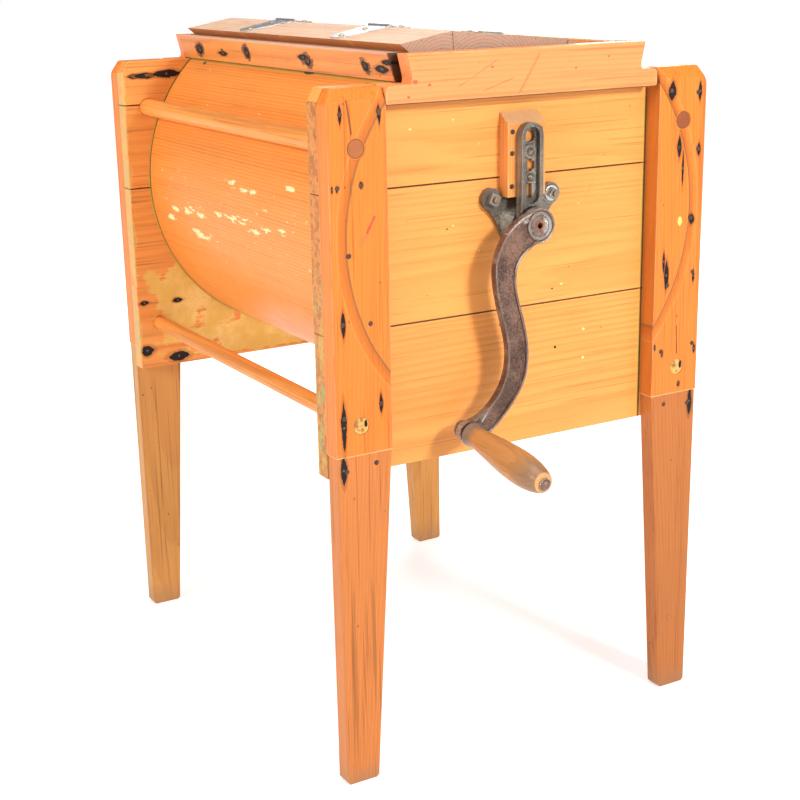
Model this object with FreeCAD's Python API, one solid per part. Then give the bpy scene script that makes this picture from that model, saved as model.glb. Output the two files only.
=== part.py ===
import FreeCAD, Part
import math
import os

V = FreeCAD.Vector

# Everything is in millimetres. X runs across the churn, Y from the crank end
# (negative) to the far end, Z up from the floor. The churn is drawn with Y = 0 half
# way between its two ends; Y_SHIFT then puts the origin under the middle of the
# whole object, the hand grip included.
Y_SHIFT = 82.0

# Frame of boards and legs
AXIS_Z = 613.0
HALF_W = 245.0
HALF_D = 306.0
LEG_T = 22.0
LEG_W = 68.0
LEG_TOP = 770.0
SPLICE_Z = 387.0
FOOT_W = 40.0
CORNER_CUT = (8.0, 15.0)
TOP_BEVEL = (7.0, 13.0)
TOP_ROUND = 3.5
BOARD_T = 21.0
BOARD_BOTTOM = 358.5
BOARD_JOINTS = (516.0, 663.0)
BACK_JOINTS = (604.7, 713.6)
BOARD_GAP = 0.5
BOARD_FRONT = -HALF_D + LEG_T
BOARD_BACK = BOARD_FRONT + BOARD_T

# Shallow arc across the two legs at the crank end
TRACK_R = 231.0
TRACK_HALF = 6.5
TRACK_DEPTH = 1.5

# Stay rods that tie the four legs, as (x, z, radius)
UPPER_ROD = (212.5, 710.0, 11.0)
LOWER_ROD = (214.5, 419.0, 9.5)

# Tub and hopper
TUB_R = 215.4
TUB_WALL = 8.0
TUB_HOUSING = 6.0
HOPPER_TOP = 800.0
SIDE_FOOT_X = 149.6
SIDE_TOP_X = 156.8
SIDE_T = 22.6
RAIL_BOTTOM = 750.0

# Crank, its shaft and the latch that holds the shaft in
CRANK_R = 236.0
CRANK_ANGLE = 22.7
BOSS_R = 9.9
ARM_FRONT = -326.0
ARM_T = 9.0
RIM_W = 2.6
RIM_H = 1.8
HUB_L = 19.7
JOURNAL_R = 10.0
JOURNAL_CLEAR = 0.05
GROOVE_R = 7.0
BLOCK_T = 16.5
BLOCK_FRONT = BOARD_FRONT - BLOCK_T
LATCH_BACK = BLOCK_FRONT - 0.3
LATCH_WEB = 5.0
LATCH_T = 11.0
LATCH_HALF = 14.0
FORK_HALF = GROOVE_R + 0.8
FORK_TOP = AXIS_Z + 9.0
HUB_CLEAR = 1.2
LATCH_SCREWS = (690.6, 663.4)
EAR = (39.0, 641.0, 11.8)

# Hand grip, leaning out of square by GRIP_LEAN degrees
GRIP_LEAN = 7.5
GRIP_START = 2.4
GRIP_END = 139.4
SPINDLE_R = 5.0
SPINDLE_END = 145.6

# Lid: three boards, 20 thick, meeting at two joints along the top
LID_HALF_L = 280.0
LID_T = 20.0
LID_GAP = 0.4
LID_LEFT_EDGE = (-143.8, 808.4)
LID_JOINTS = ((-80.3, 819.3), (68.2, 804.9))
LID_SLOPES = (9.75, -5.54, -19.6)
FLAP_W = 64.0
EDGE_BEVEL = 48.95
HINGE_Y = (-127.0, 113.0)
KNUCKLE_R = 2.3
KNUCKLE_H = 0.9
HINGE_HALF = 24.0
HINGE_PIN_R = 1.1

# Dasher inside the tub
DASHER_HALF_L = 254.0
DASHER_FLATS = 42.0
ARM_YS = (-165.0, 0.0, 165.0)
DASHER_REACH = 172.0
FLOATS = (95.0, 149.0)
FLOAT_W = 38.0
FLOAT_T = 10.0
FLOAT_HALF_L = 225.0
RIB = (28.0, 16.0)

# Nails: (x, z) on a leg's outer face, and y along a hopper side
LEFT_NAILS = (
    (-230.0, 745.0), (-185.0, 746.0), (-235.0, 672.0), (-207.6, 672.6), (-223.9, 601.8),
    (-200.5, 528.3), (-233.3, 531.0), (-190.0, 440.0), (-234.7, 430.0),
)
RIGHT_NAILS = (
    (194.0, 744.0), (233.0, 740.0), (207.0, 679.0), (235.0, 676.0), (228.0, 597.0),
    (197.0, 520.0), (234.0, 532.0), (190.0, 441.0), (237.0, 445.0),
)
FOOT_NAILS = ((-233.0, 371.0), (-197.0, 375.0), (233.0, 371.0), (197.0, 375.0))
BLOCK_NAILS = ((-18.5, 712.4), (-19.0, 689.5), (-19.3, 654.1), (17.8, 713.5))
SIDE_NAILS = (-221.0, -87.0, 75.0, 148.0, 221.0)
NAIL_R = 2.6
NAIL_PROUD = 0.4


def box(x0, x1, y0, y1, z0, z1):
    return Part.makeBox(x1 - x0, y1 - y0, z1 - z0, V(x0, y0, z0))


def rod_y(r, y0, y1, x, z):
    return Part.makeCylinder(r, y1 - y0, V(x, y0, z), V(0, 1, 0))


def flip_x(shape):
    return shape.mirror(V(0, 0, 0), V(1, 0, 0))


def flip_y(shape):
    return shape.mirror(V(0, 0, 0), V(0, 1, 0))


def join(shapes):
    """One solid from several that overlap or touch."""
    shapes = list(shapes)
    return shapes[0].fuse(shapes[1:]).removeSplitter()


def rounded_wire(points):
    """Closed wire in the XZ plane from (x, z) or (x, z, corner radius) points."""
    edges = []
    ends = []
    count = len(points)
    for i, point in enumerate(points):
        here = V(point[0], 0, point[1])
        if len(point) == 2:
            ends.append((here, here))
            continue
        before = (V(points[i - 1][0], 0, points[i - 1][1]) - here).normalize()
        after = points[(i + 1) % count]
        after = (V(after[0], 0, after[1]) - here).normalize()
        half = before.getAngle(after) / 2
        start = here + before * (point[2] / math.tan(half))
        end = here + after * (point[2] / math.tan(half))
        middle = (before + after).normalize() * (point[2] / math.sin(half) - point[2])
        edges.append(Part.Arc(start, here + middle, end).toShape())
        ends.append((start, end))
    for i in range(count):
        leave = ends[i][1]
        reach = ends[(i + 1) % count][0]
        if leave.distanceToPoint(reach) > 1e-6:
            edges.append(Part.makeLine(leave, reach))
    return Part.Wire(Part.__sortEdges__(edges))


def slab_y(points, y0, y1):
    """Outline in the XZ plane, given thickness from y0 to y1."""
    slab = Part.Face(rounded_wire(points)).extrude(V(0, y1 - y0, 0))
    slab.translate(V(0, y0, 0))
    return slab


def slab_x(points, x0, x1):
    """Outline of (y, z) points, given thickness from x0 to x1."""
    corners = [V(x0, y, z) for y, z in points]
    wire = Part.makePolygon(corners + corners[:1])
    return Part.Face(wire).extrude(V(x1 - x0, 0, 0))


def turned(profile, base, direction):
    """Solid of revolution from (radius, height) points, set on base along direction."""
    corners = [V(r, 0, h) for r, h in profile]
    wire = Part.makePolygon(corners + corners[:1])
    solid = Part.Face(wire).revolve(V(0, 0, 0), V(0, 0, 1), 360)
    return aimed(solid, base, direction)


def aimed(solid, base, direction):
    turn = FreeCAD.Rotation(V(0, 0, 1), direction)
    solid.Placement = FreeCAD.Placement(base, turn)
    return solid


def dome(r, h):
    """Rounded head of radius r and height h standing on the XY plane."""
    ball = (r * r + h * h) / (2 * h)
    sphere = Part.makeSphere(ball, V(0, 0, h - ball))
    return sphere.common(Part.makeCylinder(r, h))


def slot_cut(half, y0, y1, z0, z1):
    """Upright slot with round ends, z0 and z1 being the ends' centres."""
    return join([
        box(-half, half, y0, y1, z0, z1),
        rod_y(half, y0, y1, 0, z0),
        rod_y(half, y0, y1, 0, z1),
    ])


def nail(x, y, z, direction):
    """Cut nail head, slightly proud of the surface it is driven into."""
    profile = [(0, -8), (1.4, -8), (1.4, -1.2), (NAIL_R, -1.2), (NAIL_R, NAIL_PROUD), (0, NAIL_PROUD)]
    return turned(profile, V(x, y, z), direction)


def nail_hole(x, y, z, direction):
    profile = [(0, -9), (1.5, -9), (1.5, -1.3), (NAIL_R + 0.1, -1.3), (NAIL_R + 0.1, 2), (0, 2)]
    return turned(profile, V(x, y, z), direction)


# ---------------------------------------------------------------- end boards


def end_panel(bore_r):
    """Whole front end panel before it is divided into its three boards."""
    cut_x, cut_z = CORNER_CUT
    panel = slab_y([
        (-HALF_W, BOARD_BOTTOM), (HALF_W, BOARD_BOTTOM),
        (HALF_W, LEG_TOP - cut_z), (HALF_W - cut_x, LEG_TOP),
        (cut_x - HALF_W, LEG_TOP), (-HALF_W, LEG_TOP - cut_z),
    ], BOARD_FRONT, BOARD_BACK)
    seat_y = BOARD_BACK - TUB_HOUSING
    housing = rod_y(TUB_R + 0.1, seat_y, BOARD_BACK + 1, 0, AXIS_Z)
    housing = housing.cut(rod_y(TUB_R - TUB_WALL - 0.1, seat_y, BOARD_BACK + 1, 0, AXIS_Z))
    cuts = [housing, rod_y(bore_r, BOARD_FRONT - 1, BOARD_BACK + 1, 0, AXIS_Z)]
    for x, z, r in (UPPER_ROD, LOWER_ROD):
        for side in (-1, 1):
            cuts.append(rod_y(r + 0.1, BOARD_FRONT - 1, BOARD_BACK + 1, side * x, z))
    return panel.cut(cuts)


def divide(panel, joints):
    """Bottom, middle and top board of an end panel."""
    levels = (BOARD_BOTTOM - 1,) + joints + (LEG_TOP + 1,)
    boards = []
    for low, high in zip(levels, levels[1:]):
        zone = box(-300, 300, -400, 400, low + BOARD_GAP / 2, high - BOARD_GAP / 2)
        boards.append(panel.common(zone))
    return boards


def front_boards():
    panel = end_panel(14.1)
    for side in (-1, 1):
        x = side * EAR[0]
        shank = rod_y(3.1, BOARD_FRONT - 1, BOARD_BACK + 1, x, EAR[1])
        panel = panel.cut(shank.fuse(rod_y(7.2, BOARD_BACK - 3.6, BOARD_BACK + 1, x, EAR[1])))
    return divide(panel, BOARD_JOINTS)


def back_boards():
    return [flip_y(board) for board in divide(end_panel(12.1), BACK_JOINTS)]


# ---------------------------------------------------------------- legs and rods


def front_leg(side, with_track):
    """Upper leg plank; with_track adds the shallow arc worn by the crank's end."""
    inner = HALF_W - LEG_W
    cut_x, cut_z = CORNER_CUT
    plank = slab_y([
        (-HALF_W, SPLICE_Z), (-inner, SPLICE_Z), (-inner, LEG_TOP),
        (cut_x - HALF_W, LEG_TOP), (-HALF_W, LEG_TOP - cut_z),
    ], -HALF_D, BOARD_FRONT)
    depth, height = TOP_BEVEL
    bevel = slab_x([
        (-HALF_D - 1, LEG_TOP - height), (-HALF_D, LEG_TOP - height),
        (-HALF_D + depth, LEG_TOP), (-HALF_D + depth, LEG_TOP + 1), (-HALF_D - 1, LEG_TOP + 1),
    ], -HALF_W - 1, -inner + 1)
    plank = plank.cut(bevel)
    top = [e for e in plank.Edges if min(v.Z for v in e.Vertexes) > LEG_TOP - cut_z - 1]
    plank = plank.makeFillet(TOP_ROUND, top)
    cuts = [box(-228.1, -193.9, -299.1, -290.9, SPLICE_Z - 1, SPLICE_Z + 19)]
    for x, z, r in (UPPER_ROD, LOWER_ROD):
        cuts.append(rod_y(r + 0.1, -HALF_D - 1, BOARD_FRONT + 1, -x, z))
    plank = plank.cut(cuts)
    if side > 0:
        plank = flip_x(plank)
    if with_track:
        ball = (TRACK_HALF ** 2 + TRACK_DEPTH ** 2) / (2 * TRACK_DEPTH)
        centre = V(0, -HALF_D - ball + TRACK_DEPTH, AXIS_Z)
        plank = plank.cut(Part.makeTorus(TRACK_R, ball, centre, V(0, 1, 0)))
    return plank.cut([nail_hole(x, -HALF_D, z, V(0, -1, 0)) for x, z in nails_on(side)])


def nails_on(side):
    return LEFT_NAILS if side < 0 else RIGHT_NAILS


def front_foot(side):
    """Tapered lower leg, tenoned up into the plank above it."""
    outer = -HALF_W + 1
    inner = -HALF_W + LEG_W - 1
    toe = -HALF_W + 2
    foot = slab_y([
        (outer, SPLICE_Z - 0.4), (inner, SPLICE_Z - 0.4),
        (toe + FOOT_W, 3), (toe + FOOT_W - 3, 0), (toe + 3, 0), (toe, 3),
    ], -HALF_D + 0.5, BOARD_FRONT - 0.5)
    tenon = box(-228, -194, -299, -291, SPLICE_Z - 5, SPLICE_Z + 18)
    foot = join([foot, tenon])
    if side > 0:
        foot = flip_x(foot)
    points = [p for p in FOOT_NAILS if p[0] * side > 0]
    return foot.cut([nail_hole(x, -HALF_D + 0.5, z, V(0, -1, 0)) for x, z in points])


def leg_nails():
    nails = [nail(x, -HALF_D, z, V(0, -1, 0)) for x, z in LEFT_NAILS + RIGHT_NAILS]
    nails += [nail(x, -HALF_D + 0.5, z, V(0, -1, 0)) for x, z in FOOT_NAILS]
    return nails + [flip_y(one) for one in nails]


def stay_rod(size, side):
    x, z, r = size
    return rod_y(r, -HALF_D + 0.3, HALF_D - 0.3, side * x, z)


# ---------------------------------------------------------------- tub and hopper


def tub_wall():
    half = HALF_D - LEG_T - BOARD_T + TUB_HOUSING - 0.1
    wall = rod_y(TUB_R, -half, half, 0, AXIS_Z)
    wall = wall.cut(rod_y(TUB_R - TUB_WALL, -half - 1, half + 1, 0, AXIS_Z))
    return wall.cut(box(-300, 300, -400, 400, LEG_TOP, LEG_TOP + 100))


def side_normal():
    rise = HOPPER_TOP - LEG_TOP
    flare = SIDE_TOP_X - SIDE_FOOT_X
    return V(-rise, 0, -flare).normalize() * -1


def hopper_side_left():
    side = slab_y([
        (-SIDE_FOOT_X, LEG_TOP + 0.3), (SIDE_T - SIDE_FOOT_X, LEG_TOP + 0.3),
        (SIDE_T - SIDE_TOP_X, HOPPER_TOP), (-SIDE_TOP_X, HOPPER_TOP),
    ], -279, 279)
    return side.cut([side_nail(y, nail_hole) for y in SIDE_NAILS])


def side_nail(y, maker):
    """Nail or nail hole half way up the flared outer face of the left hopper side."""
    x = -(SIDE_FOOT_X + SIDE_TOP_X) / 2
    z = (LEG_TOP + 0.3 + HOPPER_TOP) / 2
    return maker(x, y, z, side_normal() * -1)


def front_rail():
    """Cross rail with an ear towards each leg and a flared upper part over coves."""
    return slab_y([
        (172.7, RAIL_BOTTOM, 4), (172.7, LEG_TOP, 5),
        (151.0, LEG_TOP, 2.5), (149.8, LEG_TOP + 6, 3), (155.1, HOPPER_TOP),
        (-150.6, HOPPER_TOP), (-145.0, LEG_TOP + 6, 3), (-145.6, LEG_TOP, 2.5),
        (-176.3, LEG_TOP, 8), (-176.3, RAIL_BOTTOM, 1),
    ], -HALF_D, BOARD_FRONT)


# ---------------------------------------------------------------- bearings


def bearing_block():
    block = slab_x([
        (BOARD_FRONT, 642.5), (BLOCK_FRONT, 642.5), (BLOCK_FRONT, 720.5), (BOARD_FRONT, 733),
    ], -24.5, 24.5)
    holes = [rod_y(2.5, BLOCK_FRONT - 1, -287, 0, z) for z in LATCH_SCREWS]
    return block.cut(holes + block_nails(nail_hole))


def block_nails(maker):
    return [maker(x, BLOCK_FRONT, z, V(0, -1, 0)) for x, z in BLOCK_NAILS]


def crank_bearing():
    """Iron casting: two bolt ears, a conical neck and a sleeve through the end board."""
    ear_x, ear_z, ear_r = EAR
    face = BOARD_FRONT - 6
    parts = [rod_y(28.5, face, BOARD_FRONT, 0, AXIS_Z)]
    for side in (-1, 1):
        parts.append(rod_y(ear_r, face - 1, BOARD_FRONT, side * ear_x, ear_z))
        edge = Part.Arc(V(-46.5, 0, 632), V(-34.5, 0, 619), V(-28.2, 0, 607)).toShape()
        far = [V(-28.2, 0, 607), V(0, 0, 605), V(0, 0, 628), V(-33.5, 0, 647), V(-46.5, 0, 632)]
        web = Part.Face(Part.Wire([edge] + Part.makePolygon(far).Edges))
        web = web.extrude(V(0, 6, 0))
        web.translate(V(0, face, 0))
        parts.append(web if side < 0 else flip_x(web))
    neck = Part.makeCone(27.5, 18.9, BLOCK_T - 6, V(0, face, AXIS_Z), V(0, -1, 0))
    sleeve = rod_y(14, BOARD_FRONT - 2, BOARD_BACK + 0.5, 0, AXIS_Z)
    casting = join(parts + [neck, sleeve])
    cuts = [rod_y(JOURNAL_R + JOURNAL_CLEAR, -400, -200, 0, AXIS_Z)]
    for side in (-1, 1):
        cuts.append(rod_y(3.2, -400, -200, side * ear_x, ear_z))
    return casting.cut(cuts)


def bearing_bolts():
    bolts = []
    for side in (-1, 1):
        shank = rod_y(3.0, BOARD_FRONT - 17, BOARD_BACK - 3, side * EAR[0], EAR[1])
        head = rod_y(7.0, BOARD_BACK - 3.5, BOARD_BACK - 0.3, side * EAR[0], EAR[1])
        bolts.append(join([shank, head]))
    return bolts


def square_nut(width, thick, turn, x, back):
    half = width / 2
    nut = box(-half, half, back - thick, back, -half, half)
    start = V(0, back - thick + half * 0.4, 0)
    bevel = Part.makeCone(half * 1.9, half * 1.05, half * 0.85, start, V(0, -1, 0))
    nut = nut.common(bevel.fuse(rod_y(half * 1.9, back - thick + half * 0.4, back + 1, 0, 0)))
    nut = nut.cut(rod_y(3.05, back - thick - 1, back + 1, 0, 0))
    nut.rotate(V(0, 0, 0), V(0, 1, 0), turn)
    nut.translate(V(x, 0, EAR[1]))
    return nut


def bearing_nuts():
    back = BOARD_FRONT - 7.1
    return [
        square_nut(12.0, 7.0, 24, -EAR[0], back),
        square_nut(10.5, 6.0, 32, EAR[0], back - 1.7),
    ]


def bearing_washer():
    back = BOARD_FRONT - 7.1
    ring = rod_y(8.4, back - 1.6, back, EAR[0], EAR[1])
    return ring.cut(rod_y(3.3, back - 2, back + 1, EAR[0], EAR[1]))


def latch():
    """Rimmed iron slide: finger hole, notched slot, and a fork astride the shaft."""
    web_front = LATCH_BACK - LATCH_WEB
    front = LATCH_BACK - LATCH_T
    top = 708.0
    web = join([
        box(-LATCH_HALF, LATCH_HALF, web_front, LATCH_BACK, 608, top),
        rod_y(LATCH_HALF, web_front, LATCH_BACK, 0, top),
    ])
    rim = join([
        box(-LATCH_HALF, LATCH_HALF, front, web_front, 616, top),
        rod_y(LATCH_HALF, front, web_front, 0, top),
    ])
    rim = rim.cut([
        slot_cut(9.3, front - 1, web_front, 644.3, top),
        rod_y(18 + HUB_CLEAR, front - 1, web_front, 0, AXIS_Z),
    ])
    cuts = [
        box(-FORK_HALF, FORK_HALF, front - 1, LATCH_BACK + 1, 590, FORK_TOP),
        rod_y(6.6, front - 1, LATCH_BACK + 1, 0, 707.5),
        box(-2.9, 2.9, front - 1, LATCH_BACK + 1, 641, 694),
        box(2, 6.6, front - 1, LATCH_BACK + 1, 672, 680.5),
    ]
    return join([web, rim]).cut(cuts)


def latch_screws():
    back = LATCH_BACK - LATCH_WEB - 1.9
    screws = []
    for z, turn in zip(LATCH_SCREWS, (38, -25)):
        head = dome(4.7, 2.6).cut(Part.makeBox(12, 1.2, 2, V(-6, -0.6, 1.3)))
        shank = Part.makeCylinder(2.4, 18, V(0, 0, -18))
        screw = join([head, shank])
        screw.rotate(V(0, 0, 0), V(0, 0, 1), turn)
        screws.append(aimed_at_front(screw, 0, back, z))
    return screws


def aimed_at_front(shape, x, y, z):
    """Turn a shape drawn upright so that its top faces the crank end."""
    shape.rotate(V(0, 0, 0), V(1, 0, 0), 90)
    shape.translate(V(x, y, z))
    return shape


def latch_washers():
    back = LATCH_BACK - LATCH_WEB - 0.3
    washers = []
    for z, r in zip(LATCH_SCREWS, (7.6, 6.6)):
        ring = rod_y(r, back - 1.6, back, 0, z)
        washers.append(ring.cut(rod_y(2.5, back - 2, back + 1, 0, z)))
    return washers


def rear_bearing():
    """Closed iron socket let through the far end board, flange outside."""
    sleeve = rod_y(12, -BOARD_BACK - 0.5, HALF_D - LEG_T + 2, 0, AXIS_Z)
    flange = rod_y(27, HALF_D - LEG_T, HALF_D - LEG_T + 4, 0, AXIS_Z)
    casting = join([sleeve, flange])
    cuts = [rod_y(8.06, 0, HALF_D - LEG_T + 0.5, 0, AXIS_Z)]
    for x, z in rear_screw_points():
        cuts.append(rod_y(2.1, 0, 400, x, z))
    return casting.cut(cuts)


def rear_screw_points():
    return [
        (19.5 * math.sin(math.radians(a)), AXIS_Z + 19.5 * math.cos(math.radians(a)))
        for a in (0, 120, 240)
    ]


def rear_screws():
    screws = []
    for x, z in rear_screw_points():
        screw = dome(4.2, 2).cut(Part.makeBox(10, 1, 2, V(-5, -0.5, 1)))
        screw = join([screw, Part.makeCylinder(2.0, 3.9, V(0, 0, -3.9))])
        screw.rotate(V(0, 0, 0), V(1, 0, 0), -90)
        screw.translate(V(x, HALF_D - LEG_T + 4.1, z))
        screws.append(screw)
    return screws


# ---------------------------------------------------------------- crank and grip


def crank_end():
    angle = math.radians(CRANK_ANGLE)
    return V(-CRANK_R * math.sin(angle), ARM_FRONT, AXIS_Z - CRANK_R * math.cos(angle))


def grip_direction():
    lean = math.radians(GRIP_LEAN)
    return V(0, -math.cos(lean), -math.sin(lean))


def smooth(points, inset):
    """Smooth edge through points (x, z) from the hub; inset moves it to its left."""
    curve = Part.BSplineCurve()
    curve.interpolate([V(x, 0, AXIS_Z + z) for x, z in points])
    if inset == 0:
        return curve
    moved = []
    for i in range(25):
        place = curve.FirstParameter + (curve.LastParameter - curve.FirstParameter) * i / 24
        run = curve.tangent(place)[0]
        moved.append(curve.value(place) + V(-run.z, 0, run.x) * inset)
    inner = Part.BSplineCurve()
    inner.interpolate(moved)
    return inner


def arm_band(inset, y0, y1):
    """S-curved arm between two smooth edges, inset alike from both."""
    outer = smooth([
        (-8, 15), (-27, 8), (-50, -17), (-57, -40), (-56, -62), (-47, -102),
        (-41, -130), (-43, -158), (-55, -182), (-74, -199), (-91, -205.5),
    ], inset)
    inner = smooth([
        (9, -15), (-14, -25), (-27, -38), (-30.5, -55), (-26, -82), (-18, -110),
        (-14, -138), (-19, -170), (-33, -192), (-52, -212), (-71, -226), (-91, -230.5),
    ], -inset)
    top = Part.makeLine(outer.StartPoint, inner.StartPoint)
    foot = Part.makeLine(outer.EndPoint, inner.EndPoint)
    loop = Part.__sortEdges__([outer.toShape(), foot, inner.toShape(), top])
    band = Part.Face(Part.Wire(loop)).extrude(V(0, y1 - y0, 0))
    band.translate(V(0, y0, 0))
    return band


def crank_arm():
    """Hub, rimmed S-shaped arm and the boss that carries the grip's pin."""
    end = crank_end()
    back = ARM_FRONT + ARM_T
    plate = arm_band(0, ARM_FRONT, back).fuse([
        rod_y(19.3, ARM_FRONT, back, 0, AXIS_Z),
        rod_y(12.5, ARM_FRONT, back, end.x, end.z),
    ])
    floor = ARM_FRONT + RIM_H
    pocket = arm_band(RIM_W, ARM_FRONT - 1, floor).fuse([
        rod_y(19.3 - RIM_W, ARM_FRONT - 1, floor, 0, AXIS_Z),
        rod_y(12.5 - RIM_W, ARM_FRONT - 1, floor, end.x, end.z),
    ])
    rimmed = plate.cut([pocket, rod_y(15, ARM_FRONT - 1, back + 1, 0, AXIS_Z)])
    socket = JOURNAL_R + 0.02
    hub = turned([
        (3.3, -0.3), (15.6, -0.3), (15.6, ARM_T - 1), (18, ARM_T - 1),
        (18, HUB_L), (socket, HUB_L), (socket, 7), (3.3, 7),
    ], V(0, ARM_FRONT, AXIS_Z), V(0, 1, 0))
    boss = rod_y(BOSS_R, ARM_FRONT + 1.2, -308.6, end.x, end.z)
    pin_hole = turned([
        (0, -40), (SPINDLE_R + 0.02, -40), (SPINDLE_R + 0.02, 40), (0, 40),
    ], end, grip_direction())
    return rimmed.fuse([hub, boss]).cut(pin_hole)


def crank_shaft():
    """Journal with the latch groove, then a square end that drives the dasher."""
    shaft = rod_y(JOURNAL_R, ARM_FRONT + 7.2, BOARD_BACK + 1, 0, AXIS_Z)
    ring = rod_y(JOURNAL_R + 1, -306.1, BLOCK_FRONT, 0, AXIS_Z)
    shaft = shaft.cut(ring.cut(rod_y(GROOVE_R, -307, -300, 0, AXIS_Z)))
    square = box(-7, 7, BOARD_BACK, -222, AXIS_Z - 7, AXIS_Z + 7)
    return join([shaft, square])


def grip_spindle():
    """Riveted pin that the grip turns on, with its washer."""
    r = SPINDLE_R
    start = -17.2
    pin = turned([(0, start), (r, start), (r, 142), (0, 142)], crank_end(), grip_direction())
    head = aimed(dome(5.8, SPINDLE_END - 141.6), crank_end() + grip_direction() * 141.6, grip_direction())
    washer = turned([
        (0, GRIP_END + 0.3), (6.6, GRIP_END + 0.3), (6.6, 141.7), (0, 141.7),
    ], crank_end(), grip_direction())
    return join([pin, head, washer])


def grip():
    """Turned wooden hand grip: collar, neck, swell and flat end."""
    bore = SPINDLE_R + 0.06
    collar = [(bore, GRIP_START), (12.2, GRIP_START), (13.8, 4.6), (13.9, 6.8), (12.9, 9.8)]
    belly = [(12.9, 9.8), (12.2, 18), (13.4, 33), (15.4, 53)]
    belly += [(17.2, 76), (17.8, 97), (16.6, 116), (13.6, 131)]
    close = [(13.6, 131), (11.6, 136.8), (9.9, GRIP_END), (bore, GRIP_END), (bore, GRIP_START)]
    edges = Part.makePolygon([V(r, 0, h) for r, h in collar]).Edges
    curve = Part.BSplineCurve()
    curve.interpolate([V(r, 0, h) for r, h in belly])
    edges += [curve.toShape()] + Part.makePolygon([V(r, 0, h) for r, h in close]).Edges
    solid = Part.Face(Part.Wire(edges)).revolve(V(0, 0, 0), V(0, 0, 1), 360)
    return aimed(solid, crank_end(), grip_direction())


# ---------------------------------------------------------------- dasher


def dasher_shaft():
    flat = DASHER_FLATS / 2
    point = flat * math.tan(math.radians(22.5))
    ring = [(point, flat), (flat, point), (flat, -point), (point, -flat)]
    ring += [(-x, z) for x, z in reversed(ring)]
    shaft = slab_y(ring, -DASHER_HALF_L, DASHER_HALF_L)
    shaft.translate(V(0, 0, AXIS_Z))
    cuts = [
        box(-7.2, 7.2, -DASHER_HALF_L - 1, -221, AXIS_Z - 7.2, AXIS_Z + 7.2),
        rod_y(8.0, 206, DASHER_HALF_L + 1, 0, AXIS_Z),
    ]
    for y in ARM_YS:
        cuts.append(rib(y, 0.1))
    return shaft.cut(cuts)


def rib(y, extra):
    half_w = RIB[0] / 2 + extra
    half_t = RIB[1] / 2 + extra
    return box(-DASHER_REACH, DASHER_REACH, y - half_w, y + half_w, AXIS_Z - half_t, AXIS_Z + half_t)


def peg_points():
    return [(side * x, y) for y in ARM_YS for x in FLOATS for side in (-1, 1)]


def peg(x, y, r, reach):
    low = -RIB[1] / 2 - FLOAT_T - reach if x < 0 else -RIB[1] / 2 - reach
    high = RIB[1] / 2 + reach if x < 0 else RIB[1] / 2 + FLOAT_T + reach
    return Part.makeCylinder(r, high - low, V(x, y, AXIS_Z + low))


def dasher_ribs():
    holes = [peg(x, y, 3.1, 1) for x, y in peg_points()]
    return [rib(y, 0).cut(holes) for y in ARM_YS]


def dasher_floats():
    """Long slats on the leading side of the ribs."""
    holes = [peg(x, y, 3.1, 1) for x, y in peg_points()]
    floats = []
    for x in FLOATS:
        for side in (-1, 1):
            low = RIB[1] / 2 + 0.1 if side > 0 else -RIB[1] / 2 - FLOAT_T - 0.1
            z = AXIS_Z + low
            centre = side * x
            left, right = centre - FLOAT_W / 2, centre + FLOAT_W / 2
            slat = box(left, right, -FLOAT_HALF_L, FLOAT_HALF_L, z, z + FLOAT_T)
            floats.append(slat.cut(holes))
    return floats


def dasher_pegs():
    return [peg(x, y, 3.0, 0.4) for x, y in peg_points()]


def dasher_socket():
    plate = rod_y(19, -DASHER_HALF_L - 3.1, -DASHER_HALF_L - 0.1, 0, AXIS_Z)
    return plate.cut(box(-7.2, 7.2, -300, -200, AXIS_Z - 7.2, AXIS_Z + 7.2))


def dasher_gudgeon():
    return rod_y(7.98, 207, HALF_D - LEG_T - 0.3, 0, AXIS_Z)


# ---------------------------------------------------------------- lid


def heading(degrees):
    angle = math.radians(degrees)
    return math.cos(angle), math.sin(angle)


def lid_board(start, end, slope, left_face, right_face):
    """Board with its top from start to end; the faces are the headings of its edges."""
    down = heading(slope - 90)
    corners = []
    for (x, z), face in ((start, left_face), (end, right_face)):
        fx, fz = heading(face)
        reach = LID_T / (fx * down[0] + fz * down[1])
        corners.append((x + fx * reach, z + fz * reach))
    return slab_y([start, corners[0], corners[1], end], -LID_HALF_L, LID_HALF_L)


def along(point, slope, distance):
    x, z = heading(slope)
    return point[0] + x * distance, point[1] + z * distance


def lid_boards():
    """Left flap, centre board and right flap."""
    left, centre, right = LID_SLOPES
    joint_a, joint_b = LID_JOINTS
    face_a = (left + centre) / 2 - 90
    face_b = (centre + right) / 2 - 90
    b_start = along(joint_b, right, LID_GAP)
    return [
        lid_board(LID_LEFT_EDGE, along(joint_a, left, -LID_GAP), left, left - EDGE_BEVEL, face_a),
        lid_board(along(joint_a, centre, LID_GAP), along(joint_b, centre, -LID_GAP), centre, face_a, face_b),
        lid_board(b_start, along(b_start, right, FLAP_W), right, face_b, 180 + right + EDGE_BEVEL),
    ]


def on_slope(shape, joint, slope, leftward, y):
    """Lay a shape drawn along +X from a joint on to a board's sloping top."""
    placed = shape.copy()
    if leftward:
        placed.rotate(V(0, 0, 0), V(0, 0, 1), 180)
    placed.rotate(V(0, 0, 0), V(0, 1, 0), -slope)
    placed.translate(V(joint[0], y, joint[1]))
    return placed


def hinge_axis(index):
    """Point on the hinge pin's axis above a joint, on the joint's own plane."""
    mean = (LID_SLOPES[index] + LID_SLOPES[index + 1]) / 2
    x, z = heading(mean + 90)
    joint = LID_JOINTS[index]
    return joint[0] + x * KNUCKLE_H, joint[1] + z * KNUCKLE_H


def knuckle(index, y, low, high, bore):
    x, z = hinge_axis(index)
    return rod_y(KNUCKLE_R, y + low, y + high, x, z), rod_y(bore, y + low - 1, y + high + 1, x, z)


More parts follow.
